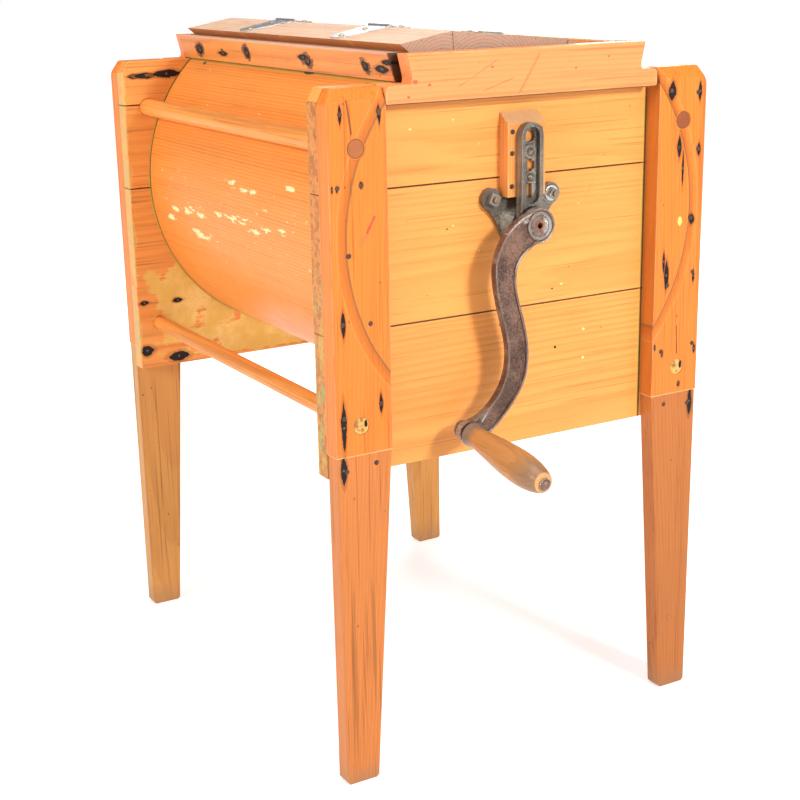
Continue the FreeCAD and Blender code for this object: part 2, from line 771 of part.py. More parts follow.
def leaf(outline, index, slope, leftward, y, knuckles, gaps, bore, screw_points):
    """One hinge leaf: its plate, its share of the knuckles and its screw holes."""
    face = Part.Face(Part.Wire(Part.__sortEdges__(outline)))
    plate = face.extrude(V(0, 0, 1.5))
    plate.translate(V(0, 0, 0.1))
    for low, high in gaps:
        plate = plate.cut(Part.makeBox(5.2, high - low, 4, V(-2, low, -1)))
    for u, v in screw_points:
        plate = plate.cut(Part.makeCylinder(1.7, 6, V(u, v, -2)))
    shape = on_slope(plate, LID_JOINTS[index], slope, leftward, y)
    bores = []
    barrels = []
    for low, high in knuckles:
        barrel, hole = knuckle(index, y, low, high, bore)
        barrels.append(barrel)
        bores.append(hole)
    return join([shape] + barrels).cut(bores)


def strap_outline():
    """Long tapered leaf with a rounded tip, drawn in plan."""
    h = HINGE_HALF
    tip = Part.Arc(V(55, -15.5, 0), V(61.5, 0, 0), V(55, 15.5, 0)).toShape()
    sides = [V(55, 15.5, 0), V(12, h - 1, 0), V(0.8, h, 0), V(0.8, -h, 0), V(12, 1 - h, 0), V(55, -15.5, 0)]
    return [tip] + Part.makePolygon(sides).Edges


def plate_outline():
    """Short square leaf on the centre board, drawn in plan."""
    h = HINGE_HALF
    corners = [V(0.8, -h, 0), V(26, -h, 0), V(26, h, 0), V(0.8, h, 0), V(0.8, -h, 0)]
    return Part.makePolygon(corners).Edges


STRAP_SCREWS = ((19.0, 0.0), (52.0, 5.0))
PLATE_SCREWS = ((19.5, -14.0), (19.5, 14.0))
OUTER_KNUCKLES = ((-HINGE_HALF, -8.2), (8.2, HINGE_HALF))
INNER_KNUCKLE = ((-7.8, 7.8),)


def straps(index):
    """Both long leaves of the hinges at one joint, on the flap."""
    leftward = index == 0
    slope = LID_SLOPES[0 if leftward else 2]
    gaps = [(-8.5, 8.5)]
    bore = HINGE_PIN_R + 0.06
    return [
        leaf(strap_outline(), index, slope, leftward, y, OUTER_KNUCKLES, gaps, bore, STRAP_SCREWS)
        for y in HINGE_Y
    ]


def plates(index):
    """Both short leaves at one joint, on the centre board."""
    leftward = index == 1
    gaps = [(-HINGE_HALF - 1, -7.5), (7.5, HINGE_HALF + 1)]
    bore = HINGE_PIN_R + 0.01
    return [
        leaf(plate_outline(), index, LID_SLOPES[1], leftward, y, INNER_KNUCKLE, gaps, bore, PLATE_SCREWS)
        for y in HINGE_Y
    ]


def knuckle_notches(index):
    """Room in the two boards for the knuckles, which lie half sunk in the joint."""
    x, z = hinge_axis(index)
    reach = HINGE_HALF + 1
    return [rod_y(KNUCKLE_R + 0.4, y - reach, y + reach, x, z) for y in HINGE_Y]


def hinge_pins(index):
    x, z = hinge_axis(index)
    return [rod_y(HINGE_PIN_R, y - HINGE_HALF - 0.5, y + HINGE_HALF + 0.5, x, z) for y in HINGE_Y]


def leaf_screws(points, index, slope, leftward, r, length, head):
    """Screws, or with head False their pilot holes, through one kind of leaf."""
    screws = []
    for y in HINGE_Y:
        for u, v in points:
            screw = Part.makeCylinder(r, length, V(0, 0, 1.6 - length))
            if head:
                cap = dome(3.6, 1.6).cut(Part.makeBox(9, 0.8, 1, V(-4.5, -0.4, 1.0)))
                cap.translate(V(0, 0, 1.65))
                screw = join([screw.fuse(Part.makeCylinder(r, 0.2, V(0, 0, 1.5))), cap])
            screw.translate(V(u, v, 0))
            screws.append(on_slope(screw, LID_JOINTS[index], slope, leftward, y))
    return screws


def flap_screws(index, r, length, head):
    leftward = index == 0
    slope = LID_SLOPES[0 if leftward else 2]
    return leaf_screws(STRAP_SCREWS, index, slope, leftward, r, length, head)


def centre_screws(r, length, head):
    found = []
    for index in (0, 1):
        found += leaf_screws(PLATE_SCREWS, index, LID_SLOPES[1], index == 1, r, length, head)
    return found


# ---------------------------------------------------------------- assembly


def build():
    nodes = {}
    for end, boards in (("front", front_boards()), ("back", back_boards())):
        for name, board in zip(("bottom", "middle", "top"), boards):
            nodes["end_board_" + end + "_" + name] = [board]

    for side, name in ((-1, "left"), (1, "right")):
        nodes["leg_front_" + name] = [front_leg(side, True)]
        nodes["leg_back_" + name] = [flip_y(front_leg(side, False))]
        foot = front_foot(side)
        nodes["foot_front_" + name] = [foot]
        nodes["foot_back_" + name] = [flip_y(foot)]
    nodes["leg_nails"] = leg_nails()
    for side, name in ((-1, "left"), (1, "right")):
        nodes["rod_upper_" + name] = [stay_rod(UPPER_ROD, side)]
        nodes["rod_lower_" + name] = [stay_rod(LOWER_ROD, side)]

    nodes["tub_wall"] = [tub_wall()]
    side_left = hopper_side_left()
    nodes["hopper_side_left"] = [side_left]
    nodes["hopper_side_right"] = [flip_x(side_left)]
    side_nails = [side_nail(y, nail) for y in SIDE_NAILS]
    nodes["hopper_nails"] = side_nails + [flip_x(one) for one in side_nails]
    nodes["hopper_rail_front"] = [front_rail()]
    nodes["hopper_rail_back"] = [flip_y(front_rail())]

    nodes["bearing_block"] = [bearing_block()]
    nodes["block_nails"] = block_nails(nail)
    nodes["crank_bearing"] = [crank_bearing()]
    nodes["bearing_bolts"] = bearing_bolts()
    nodes["bearing_nuts"] = bearing_nuts()
    nodes["bearing_washer"] = [bearing_washer()]
    nodes["latch_slide"] = [latch()]
    nodes["latch_screws"] = latch_screws()
    nodes["latch_washers"] = latch_washers()
    nodes["rear_bearing"] = [rear_bearing()]
    nodes["rear_bearing_screws"] = rear_screws()

    nodes["crank_arm"] = [crank_arm()]
    nodes["crank_shaft"] = [crank_shaft()]
    nodes["grip_spindle"] = [grip_spindle()]
    nodes["grip"] = [grip()]
    nodes["dasher_shaft"] = [dasher_shaft()]
    nodes["dasher_ribs"] = dasher_ribs()
    nodes["dasher_floats"] = dasher_floats()
    nodes["dasher_pegs"] = dasher_pegs()
    nodes["dasher_socket"] = [dasher_socket()]
    nodes["dasher_gudgeon"] = [dasher_gudgeon()]

    left, centre, right = lid_boards()
    notches = [knuckle_notches(0), knuckle_notches(1)]
    nodes["lid_centre"] = [centre.cut(centre_screws(1.7, 13, False) + notches[0] + notches[1])]
    nodes["lid_flap_left"] = [left.cut(flap_screws(0, 1.7, 13, False) + notches[0])]
    nodes["lid_flap_right"] = [right.cut(flap_screws(1, 1.7, 13, False) + notches[1])]
    nodes["lid_centre_screws"] = centre_screws(1.6, 12, True)
    nodes["lid_left_screws"] = flap_screws(0, 1.6, 12, True)
    nodes["lid_right_screws"] = flap_screws(1, 1.6, 12, True)
    for index, name in enumerate(("left", "right")):
        nodes["hinge_straps_" + name] = straps(index)
        nodes["hinge_plates_" + name] = plates(index)
        nodes["hinge_pins_" + name] = hinge_pins(index)
    return nodes


def main():
    os.makedirs("parts", exist_ok=True)
    for name, solids in build().items():
        shape = solids[0] if len(solids) == 1 else Part.makeCompound(solids)
        shape = shape.copy()
        shape.translate(V(0, Y_SHIFT, 0))
        shape.exportStep("parts/" + name + ".step")


main()
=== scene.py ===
import math

import bpy
from mathutils import Matrix, Vector


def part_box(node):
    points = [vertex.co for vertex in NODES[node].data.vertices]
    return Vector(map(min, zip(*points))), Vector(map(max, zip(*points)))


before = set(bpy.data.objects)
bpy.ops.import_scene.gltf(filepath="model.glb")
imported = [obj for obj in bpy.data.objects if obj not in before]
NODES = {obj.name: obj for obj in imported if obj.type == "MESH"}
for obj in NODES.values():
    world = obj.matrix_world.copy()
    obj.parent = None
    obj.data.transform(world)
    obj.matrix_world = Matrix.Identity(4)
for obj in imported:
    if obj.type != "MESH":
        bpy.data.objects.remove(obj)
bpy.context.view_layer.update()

Y0 = 0.082            # the CAD file's shift of the churn along Y
AXIS = (0.0, Y0, 0.613)
TUB_R = 0.2154        # the tub wall's outer radius
TUB_GROOVE_R = 0.2165  # the groove in the end boards that the tub sits in
TUB_HALF_L = 0.263    # half the length of tub that shows between the boards

WOOD_BLACK = (0.012, 0.007, 0.006)
SEAM_PAINT = (0.50, 0.38, 0.08)

# Finish of all the wood: little shine, under a thin and slightly rough coat.
WOOD_SPECULAR = 0.16
WOOD_COAT_ROUGH = 0.2
WOOD_BUMP = 0.0005

# CAD meshes are cleaned and bevelled by modifiers, and only at real corners.
WELD_DISTANCE = 0.00002
FLAT_ANGLE = math.radians(0.6)
CORNER_ANGLE = math.radians(38)

SKY = 0.15            # strength of the light from all round
FLOOR_GLOW = 0.42     # the floor's own light by the object, and what it gains far off
FLOOR_GLOW_FAR = 0.6
WHITE = (1.0, 1.0, 1.0, 1.0)

# Soft lights: name, place, the point each faces, size and power.
LIGHTS = (
    ("key_front", (0.42, -2.2, 1.5), (0, 0, 0.55), 0.42, 45.0),
    ("key_left", (-2.4, -0.6, 1.5), (0, 0, 0.55), 0.9, 43.0),
    ("top", (-0.3, 0.2, 3.4), (0, 0, 0.4), 2.2, 66.0),
    ("fill_back", (1.9, 2.6, 1.3), (0, 0, 0.5), 1.4, 40.0),
)

CAMERA_PLACE = (-0.94183, -1.64712 + Y0, 0.89412)
CAMERA_YAW = math.radians(-30.02)
CAMERA_PITCH = math.radians(16.34)
CAMERA_ROLL = math.radians(-1.09)
CAMERA_LENS = 68.04
CAMERA_SENSOR = 36.0


# ------------------------------------------------------------------ node-graph shorthand

class Val:
    """A scalar socket of a material being built, with arithmetic that adds Math nodes."""

    def __init__(self, graph, socket):
        self.g = graph
        self.s = socket

    def op(self, kind, other=None):
        return self.g.math(kind, self, other)

    def __add__(self, other):
        return self.op("ADD", other)

    def __radd__(self, other):
        return self.op("ADD", other)

    def __sub__(self, other):
        return self.op("SUBTRACT", other)

    def __rsub__(self, other):
        return self.g.math("SUBTRACT", other, self)

    def __mul__(self, other):
        return self.op("MULTIPLY", other)

    def __truediv__(self, other):
        return self.op("DIVIDE", other)

    def abs(self):
        return self.op("ABSOLUTE")

    def max(self, other):
        return self.op("MAXIMUM", other)

    def min(self, other):
        return self.op("MINIMUM", other)

    def power(self, other):
        return self.op("POWER", other)

    def step(self, low, high, out_low=0.0, out_high=1.0):
        """Smooth ramp from out_low where self is low to out_high where it is high."""
        n = self.g.node("ShaderNodeMapRange", interpolation_type="SMOOTHSTEP")
        self.g.feed(n.inputs[0], self)
        for i, v in zip((1, 2, 3, 4), (low, high, out_low, out_high)):
            self.g.feed(n.inputs[i], v)
        return Val(self.g, n.outputs[0])


class Graph:
    """A material's node tree."""

    def __init__(self, name):
        self.mat = bpy.data.materials.new(name)
        self.mat.use_nodes = True
        self.tree = self.mat.node_tree
        self.tree.nodes.clear()
        self.out = self.node("ShaderNodeOutputMaterial")
        self.bsdf = self.node("ShaderNodeBsdfPrincipled")
        self.tree.links.new(self.bsdf.outputs[0], self.out.inputs[0])
        self.coord = self.node("ShaderNodeTexCoord").outputs["Object"]
        split = self.node("ShaderNodeSeparateXYZ")
        self.tree.links.new(self.coord, split.inputs[0])
        self.x, self.y, self.z = self.point = tuple(Val(self, o) for o in split.outputs)

    def normal(self):
        """The surface's direction in the piece's own frame, so it turns with the piece."""
        split = self.node("ShaderNodeSeparateXYZ")
        self.tree.links.new(self.node("ShaderNodeTexCoord").outputs["Normal"], split.inputs[0])
        return tuple(Val(self, o) for o in split.outputs)

    def node(self, kind, **props):
        n = self.tree.nodes.new(kind)
        for key, value in props.items():
            setattr(n, key, value)
        return n

    def feed(self, socket, value):
        if isinstance(value, Val):
            self.tree.links.new(value.s, socket)
        elif isinstance(value, bpy.types.NodeSocket):
            self.tree.links.new(value, socket)
        elif value is not None:
            socket.default_value = value

    def math(self, kind, a, b=None):
        n = self.node("ShaderNodeMath", operation=kind)
        for socket, value in zip(n.inputs, (a, b)):
            self.feed(socket, value)
        return Val(self, n.outputs[0])

    def vec(self, x, y, z):
        n = self.node("ShaderNodeCombineXYZ")
        for socket, value in zip(n.inputs, (x, y, z)):
            self.feed(socket, value)
        return n.outputs[0]

    def noise(self, scale, vec=None, detail=2.0, rough=0.5):
        """Noise about 0.5; scale is per metre, one number or one per axis."""
        vec = self.coord if vec is None else vec
        if isinstance(scale, tuple):
            n = self.node("ShaderNodeMapping", vector_type="POINT")
            self.feed(n.inputs[0], vec)
            n.inputs["Scale"].default_value = scale
            vec, scale = n.outputs[0], 1.0
        n = self.node("ShaderNodeTexNoise")
        self.feed(n.inputs["Vector"], vec)
        self.feed(n.inputs["Scale"], scale)
        n.inputs["Detail"].default_value = detail
        n.inputs["Roughness"].default_value = rough
        return Val(self, n.outputs[0])

    def cells(self, scale):
        """Cells of random size, scale of them per metre."""
        n = self.node("ShaderNodeTexVoronoi", feature="F1")
        self.feed(n.inputs["Vector"], self.coord)
        n.inputs["Scale"].default_value = scale
        return n

    def mix(self, fac, a, b):
        """Blend of two colours, each a tuple or a socket."""
        n = self.node("ShaderNodeMix", data_type="RGBA", blend_type="MIX", clamp_factor=True)
        self.feed(n.inputs[0], fac)
        for socket, value in ((n.inputs[6], a), (n.inputs[7], b)):
            self.feed(socket, (*value, 1.0) if isinstance(value, tuple) else value)
        return n.outputs[2]

    def finish(self, colour, rough, height, depth, metallic=None, coat=None, specular=0.5):
        """Connects colour, roughness and a bump of height (0 to 1) times depth in metres."""
        self.feed(self.bsdf.inputs["Base Color"], colour)
        self.feed(self.bsdf.inputs["Roughness"], rough)
        self.bsdf.inputs["Specular IOR Level"].default_value = specular
        if metallic is not None:
            self.feed(self.bsdf.inputs["Metallic"], metallic)
        if coat is not None:
            self.feed(self.bsdf.inputs["Coat Weight"], coat)
            self.bsdf.inputs["Coat Roughness"].default_value = WOOD_COAT_ROUGH
        bump = self.node("ShaderNodeBump")
        bump.inputs["Strength"].default_value = 1.0
        bump.inputs["Distance"].default_value = depth
        self.feed(bump.inputs["Height"], height)
        self.tree.links.new(bump.outputs[0], self.bsdf.inputs["Normal"])
        return self.mat


def edge_distance(g, low, high):
    """Distance in metres from a surface point of a box-like board to its nearest arris."""
    d = []
    for v, a, b in zip(g.point, low, high):
        d.append((v - a).abs().min((v - b).abs()))
    dx, dy, dz = d
    return dx.min(dy).max(dx.max(dy).min(dz))


def blot(point, place, reach, ragged):
    """1 inside a ragged ellipsoid about place with half-sizes reach, 0 outside it."""
    total = None
    for v, p, r in zip(point, place, reach):
        part = ((v - p) / r).power(2.0)
        total = part if total is None else total + part
    return (total.power(0.5) + ragged).step(0.86, 1.02, 1.0, 0.0)


def lens(g, place, reach, ragged, along):
    """1 inside a ragged lens about place, pointed at its two ends on axis along."""
    across = None
    for i, (v, p, r) in enumerate(zip(g.point, place, reach)):
        part = ((v - p) / r).power(2.0)
        if i == along:
            length = part
        else:
            across = part if across is None else across + part
    return (across.power(0.5) + length + ragged).step(0.84, 1.02, 1.0, 0.0)


def scaled(tone, k):
    """A colour made k times as bright."""
    return tuple(min(1.0, v * k) for v in tone)


def drawn_out(grain, across, along):
    """Noise scales per metre: along on the grain's own axis, across on the other two."""
    scale = [across] * 3
    scale[grain] = along
    return tuple(scale)


GRAIN = {"x": 0, "y": 1, "z": 2}


class Wood:
    """Softwood built up in layers; each method paints over what is there.

    tones are the early wood, the late wood and the worn edge. pith is where the tree's heart
    passes on the two axes across the grain, tilt its lean, ring the width of a year and sway
    how far the rings wander. With no pith, the rings run round the tub as bent wood's do.
    """

    def __init__(self, name, grain, tones, pith, ring=0.0032, seed=0.0, tilt=(0.0, 0.0), sway=0.5,
                 contrast=0.55, fibres=1.0):
        g = self.g = Graph(name)
        self.tones = tones
        self.grain = GRAIN[grain]
        i, j, k = self.grain, (self.grain + 1) % 3, (self.grain + 2) % 3
        c = g.point
        self.offset = g.vec(g.x + seed, g.y + seed * 0.7, g.z + seed * 0.3)
        wave = g.noise(drawn_out(i, 3.4, 0.7), self.offset, detail=1.0) - 0.5
        ripple = g.noise(drawn_out(i, 38.0, 3.5), self.offset, detail=3.0, rough=0.6) - 0.5
        self.fibre = g.noise(drawn_out(i, 900.0, 16.0), detail=3.0, rough=0.7) - 0.5
        self.streak = g.noise(drawn_out(i, 160.0, 3.0), self.offset, detail=2.0) - 0.5
        self.patch = g.noise(30.0, self.offset, detail=4.0, rough=0.62) - 0.5
        self.drift = g.noise(4.5, self.offset, detail=2.0) - 0.5
        self.speck = g.noise(420.0, detail=3.0, rough=0.6) - 0.5
        if pith is None:
            radius = g.math("ARCTAN2", g.z - AXIS[2], g.x.abs()) * TUB_R + 1.0
        else:
            da = c[j] - pith[0] + c[i] * tilt[0]
            db = c[k] - pith[1] + c[i] * tilt[1]
            radius = (da * da + db * db).power(0.5)
        radius = radius + wave * (0.05 * sway) + ripple * (0.0045 * sway)
        rings = radius / ring
        saw = rings.op("FRACT")
        self.late = (saw.step(0.15, 0.88) - saw.step(0.9, 1.0)) * (0.75 + self.streak * 1.2)
        early, late = tones[:2]
        tone = g.mix(self.late * contrast + self.fibre * 0.7 * fibres, early, late)
        tone = g.mix(self.drift.step(-0.16, 0.2) * 0.4, tone, scaled(early, 0.8))
        tone = g.mix((self.streak + self.patch * 0.4).step(0.05, 0.35) * 0.3, tone, scaled(late, 0.75))
        tone = g.mix(self.patch.step(0.05, 0.3) * 0.22, tone, scaled(early, 1.16))
        hair = g.noise(drawn_out(i, 430.0, 5.0), self.offset, detail=2.0, rough=0.5)
        tone = g.mix(hair.step(0.60, 0.70) * 0.5 * fibres, tone, scaled(late, 0.5))
        self.tone = tone
        self.height = self.late * 0.22 + self.fibre * 0.5 + self.patch * 0.25 + self.speck * 0.12
        self.rough = 0.4 + self.fibre * 0.25 + self.patch * 0.3
        self.ragged = self.fibre * 0.35 + self.patch * 1.1 + self.speck * 0.4

    def paint(self, mask, tone, rough=0.0, dent=0.0):
        """Lays tone where mask is 1; rough and dent change roughness and height there."""
        self.tone = self.g.mix(mask, self.tone, tone)
        if rough:
            self.rough = self.rough + mask * rough
        if dent:
            self.height = self.height - mask * dent
        return self

    def stain(self, place, reach, tone=WOOD_BLACK, dent=0.35, halo=True, blunt=False):
        """Dark mark round a nail, drawn out along the grain in a brown halo, or blunt and round."""
        g = self.g
        if blunt:
            edge = blot(g.point, place, tuple(r * 1.15 for r in reach), self.ragged * 2.2)
            self.paint(edge * 0.8, scaled(tone, 2.5), 0.1, dent)
            core = blot(g.point, place, tuple(r * 0.75 for r in reach), self.ragged * 1.5)
            self.paint(core, tone, 0.1, dent)
            head = blot(g.point, place, (0.003, 0.0026, 0.0024), self.speck)
            return self.paint(head * 0.6, (0.26, 0.22, 0.18))
        if halo:
            wide = lens(g, place, tuple(r * 1.45 for r in reach), self.ragged, self.grain)
            self.paint(wide * 0.45, scaled(self.tones[1], 0.55))
        self.paint(lens(g, place, reach, self.ragged * 1.3, self.grain), tone, 0.12, dent)
        heart = blot(g.point, place, (0.0016, 0.004, 0.0016), self.speck)
        return self.paint(heart * 0.5, (0.20, 0.15, 0.11)) if halo else self

    def edge_wear_and_shade(self, low, high, width=0.003, strength=0.6, tone=None):
        """Rubbed, lighter arrises of a board that fills the box from low to high; given a darker tone,
        painted shade along the arrises instead.
        """
        near = edge_distance(self.g, low, high)
        rub = (near + self.patch * 0.006 + self.fibre * 0.0015).step(0.0002, width, 1.0, 0.0)
        return self.paint(rub * strength, tone or self.tones[2], 0.1, 0.1)

    def seam(self, axis, places, reach=0.0011, tone=(0.05, 0.022, 0.012), strength=0.85):
        """Lines at the given places on an axis in a joint: dark by default, painted shade of the joint
        together with its dirt.
        """
        v = self.g.point[axis]
        for place in places:
            near = ((v - place).abs() + self.speck * 0.0006).step(reach * 0.6, reach, 1.0, 0.0)
            self.paint(near * strength, tone, 0.1)
        return self

    def streaks(self, amount=0.5, tone=None, share=0.58):
        """Long brown lines along the grain; the higher share is, the fewer there are."""
        line = self.g.noise(drawn_out(self.grain, 95.0, 2.4), self.offset, detail=4.0, rough=0.6)
        return self.paint(line.step(share, share + 0.1) * amount, tone or scaled(self.tones[1], 0.5))

    def grime(self, amount=0.5, tone=(0.10, 0.05, 0.03)):
        """Dirt gathered in small hollows and dents."""
        dents = (self.speck * 0.8 + self.patch * 0.9).step(0.2, 0.34)
        return self.paint(dents * amount, tone, 0.1, 0.5)

    def specks(self, scale=150.0, size=0.16, share=0.86, tone=(0.28, 0.07, 0.03), strength=0.7):
        """Scattered small marks; only cells whose own random value passes share have one."""
        g = self.g
        cell = g.cells(scale)
        pick = g.node("ShaderNodeSeparateColor")
        g.tree.links.new(cell.outputs["Color"], pick.inputs[0])
        chosen = Val(g, pick.outputs[0]).step(share, share + 0.01)
        dot = (Val(g, cell.outputs["Distance"]) + self.speck * 0.25).step(size, size * 1.5, 1.0, 0.0)
        return self.paint(dot * chosen * strength, tone, 0.05, 0.3)

    def scratches(self, angle_axes, scale, share=0.72, tone=None, strength=0.35):
        """Thin lines across a face: noise drawn out along one of two rotated axes."""
        g = self.g
        u, v, turn = angle_axes
        c = g.point
        cu = c[u] * math.cos(turn) + c[v] * math.sin(turn)
        cv = c[v] * math.cos(turn) - c[u] * math.sin(turn)
        line = g.noise(1.0, g.vec(cu * scale[0], cv * scale[1], 0.0), detail=2.0, rough=0.4)
        tone = tone or scaled(self.tones[1], 0.7)
        return self.paint(line.step(share, share + 0.06) * strength, tone, 0.05, 0.35)

    def line(self, start, end, width, tone, strength=1.0, dent=0.6):
        """Narrow mark or crack from start to end."""
        g = self.g
        a, b = Vector(start), Vector(end)
        way = (b - a).normalized()
        middle = (a + b) / 2
        half = (b - a).length / 2
        rel = [g.x - middle.x, g.y - middle.y, g.z - middle.z]
        t = rel[0] * way.x + rel[1] * way.y + rel[2] * way.z
        wander = (self.patch + self.speck * 0.5) * (width * 1.5)
        off2 = None
        for r, w in zip(rel, way):
            part = (r - t * w).power(2.0)
            off2 = part if off2 is None else off2 + part
        near = (off2.power(0.5) + wander).step(width * 0.35, width, 1.0, 0.0)
        inside = t.abs().step(half * 0.85, half, 1.0, 0.0)
        return self.paint(near * inside * strength, tone, 0.1, dent)

    def done(self, coat, rough_add=0.0):
        """The finished material; coat is how much varnish is left, rough_add for bare wood."""
        return self.g.finish(self.tone, self.rough + rough_add, self.height, WOOD_BUMP, coat=coat,
                             specular=WOOD_SPECULAR)


def from_axis(g):
    """Distance in metres from the crank's axis."""
    return (g.x * g.x + (g.z - AXIS[2]).power(2.0)).power(0.5)


def metal(name, tones, rough, grain, metallic, depth, rust=None, rust_amount=0.5, rub=0.0, hub=False):
    """Iron or dull sheet: pitted, two-toned, rusty in patches and rubbed bright at the arrises.

    grain is the pits per metre, depth their height. hub adds the shaft's end in the crank's eye.
    """
    g = Graph(name)
    big = g.noise(30.0, detail=4.0, rough=0.6)
    mid = g.noise(grain, detail=5.0, rough=0.65)
    pits = Val(g, g.cells(grain * 1.7).outputs["Distance"])
    tone = g.mix(big.step(0.35, 0.65), tones[0], tones[1])
    tone = g.mix(mid.step(0.5, 0.66) * 0.65, tone, scaled(tones[0], 0.4))
    tone = g.mix(mid.step(0.30, 0.44, 1.0, 0.0) * 0.35, tone, scaled(tones[1], 1.7))
    rusty = (big * 0.5 + mid * 0.6).step(0.54, 0.68) * rust_amount
    if rust is not None:
        tone = g.mix(rusty, tone, g.mix(mid.step(0.4, 0.6), rust, scaled(rust, 0.45)))
    roughness = rough + (mid - 0.5) * 0.35 + rusty * 0.25
    if rub > 0:
        point = Val(g, g.node("ShaderNodeNewGeometry").outputs["Pointiness"])
        edge = (point + (mid - 0.5) * 0.05).step(0.51, 0.56) * rub
        tone = g.mix(edge, tone, (0.5, 0.47, 0.43))
        roughness = roughness - edge * 0.12
    if hub:
        reach = from_axis(g) + (mid - 0.5) * 0.003
        tone = g.mix((reach - 0.0056).abs().step(0.0004, 0.0024, 1.0, 0.0) * 0.6, tone, (0.30, 0.105, 0.045))
        tone = g.mix(reach.step(0.0030, 0.0040, 1.0, 0.0) * 0.85, tone, (0.40, 0.10, 0.03))
        tone = g.mix((reach - 0.0112).abs().step(0.0003, 0.0010, 1.0, 0.0) * 0.6, tone, (0.05, 0.03, 0.02))
    height = mid * 0.55 + pits.step(0.0, 0.55) * 0.45
    return g.finish(tone, roughness, height, depth, metallic=(1.0 - rusty * 0.85) * metallic)


# ------------------------------------------------------------------ dressing CAD nodes

def dress(name, material, bevel=0.0012, segments=2):
    """Gives a CAD node its material and small rounded arrises."""
    obj = NODES[name]
    obj.data.materials.clear()
    obj.data.materials.append(material)
    if bevel > 0:
        weld = obj.modifiers.new("weld", "WELD")
        weld.merge_threshold = WELD_DISTANCE
        flat = obj.modifiers.new("flat", "DECIMATE")
        flat.decimate_type = "DISSOLVE"
        flat.angle_limit = FLAT_ANGLE
        mod = obj.modifiers.new("bevel", "BEVEL")
        mod.width = bevel
        mod.segments = segments
        mod.limit_method = "ANGLE"
        mod.angle_limit = CORNER_ANGLE
        normal = obj.modifiers.new("normals", "WEIGHTED_NORMAL")
        normal.keep_sharp = True


FRONT_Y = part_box("leg_front_left")[0].y
BOARD_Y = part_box("end_board_front_middle")[0].y
BACK_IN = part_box("end_board_back_middle")[0].y

# Softwoods: early wood, late wood, worn edge.
PINE = ((0.88, 0.355, 0.088), (0.74, 0.24, 0.045), (0.93, 0.48, 0.18))
LEG_PINE = ((0.78, 0.215, 0.032), (0.56, 0.125, 0.016), (0.82, 0.34, 0.10))
FOOT_PINE = ((0.62, 0.20, 0.048), (0.42, 0.115, 0.024), (0.66, 0.30, 0.10))
TUB_PINE = ((0.84, 0.275, 0.052), (0.66, 0.175, 0.028), (0.90, 0.50, 0.18))
SIDE_PINE = ((0.80, 0.29, 0.07), (0.60, 0.175, 0.035), (0.60, 0.42, 0.31))
RAIL_PINE = ((0.88, 0.295, 0.10), (0.76, 0.21, 0.06), (0.90, 0.46, 0.21))
BLOCK_PINE = ((0.74, 0.29, 0.075), (0.56, 0.18, 0.04), (0.74, 0.40, 0.16))
BACK_FOOT_PINE = ((0.62, 0.29, 0.075), (0.44, 0.17, 0.04), (0.66, 0.38, 0.14))
LID_TONES = ((0.74, 0.48, 0.325), (0.56, 0.32, 0.19), (0.50, 0.17, 0.045))
ROD_TONES = ((0.80, 0.30, 0.065), (0.60, 0.175, 0.032), (0.86, 0.46, 0.16))
BACK_TONES = ((0.78, 0.30, 0.07), (0.56, 0.18, 0.036), (0.78, 0.40, 0.14))
GRIP_TONES = ((0.46, 0.205, 0.064), (0.28, 0.105, 0.03), (0.50, 0.27, 0.10))
DASHER_TONES = ((0.62, 0.45, 0.26), (0.46, 0.30, 0.15), (0.7, 0.54, 0.34))

# Metals: two tones, roughness, pits per metre, how metallic, depth.
iron = metal("cast_iron_dark", ((0.13, 0.115, 0.095), (0.23, 0.205, 0.165)), 0.38, 420.0, 0.85, 0.0006,
             rust=(0.26, 0.13, 0.06), rust_amount=0.5, rub=0.6)
crank_iron = metal("crank_iron_rusty", ((0.12, 0.066, 0.047), (0.245, 0.145, 0.105)), 0.36, 330.0, 0.75,
                   0.0017, rust=(0.34, 0.14, 0.065), rust_amount=0.6, rub=0.7, hub=True)
zinc = metal("zinc_sheet", ((0.55, 0.55, 0.55), (0.42, 0.42, 0.42)), 0.38, 260.0, 0.8, 0.0002,
             rust=(0.36, 0.20, 0.12), rust_amount=0.45)
bright = metal("washer_bright", ((0.82, 0.82, 0.80), (0.7, 0.7, 0.68)), 0.3, 500.0, 0.8, 0.0001)
dull = metal("fastener_dull", ((0.13, 0.105, 0.08), (0.25, 0.20, 0.15)), 0.42, 500.0, 0.8, 0.0004,
             rust=(0.30, 0.15, 0.07), rust_amount=0.5, rub=0.4)
brass = metal("brass_aged", ((0.62, 0.45, 0.17), (0.45, 0.31, 0.12)), 0.32, 700.0, 0.9, 0.0001)
bolt_end = metal("bolt_end", ((0.30, 0.20, 0.10), (0.42, 0.30, 0.15)), 0.4, 700.0, 0.8, 0.0003)
nail_iron = metal("nail_iron", ((0.035, 0.02, 0.014), (0.11, 0.055, 0.028)), 0.8, 900.0, 0.0, 0.0004,
                  rust=(0.12, 0.06, 0.03), rust_amount=0.5)


def box_of(name):
    low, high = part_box(name)
    return tuple(low), tuple(high)


def at_front(x, z):
    """A point on the front of the front legs, from x and z in mm."""
    return (x / 1000, FRONT_Y, z / 1000)


def at_front_board(x, z):
    """A point on the front of the front end boards, from x and z in mm."""
    return (x / 1000, BOARD_Y, z / 1000)


# Pale chips and dark holes on the front boards, in mm: x, z, half width, half height.
BOARD_CHIPS = ((-136, 722, 2.0, 1.2), (92, 478, 2.5, 2.0), (92, 444, 2.2, 2.0), (60, 535, 2.5, 1.6),
               (-84, 616, 1.6, 1.2))
BOARD_HOLES = ((52, 462, 1.8, 2.2), (47, 531, 1.6, 1.0), (-92, 613, 1.3, 1.2), (-24, 498, 1.0, 1.0))

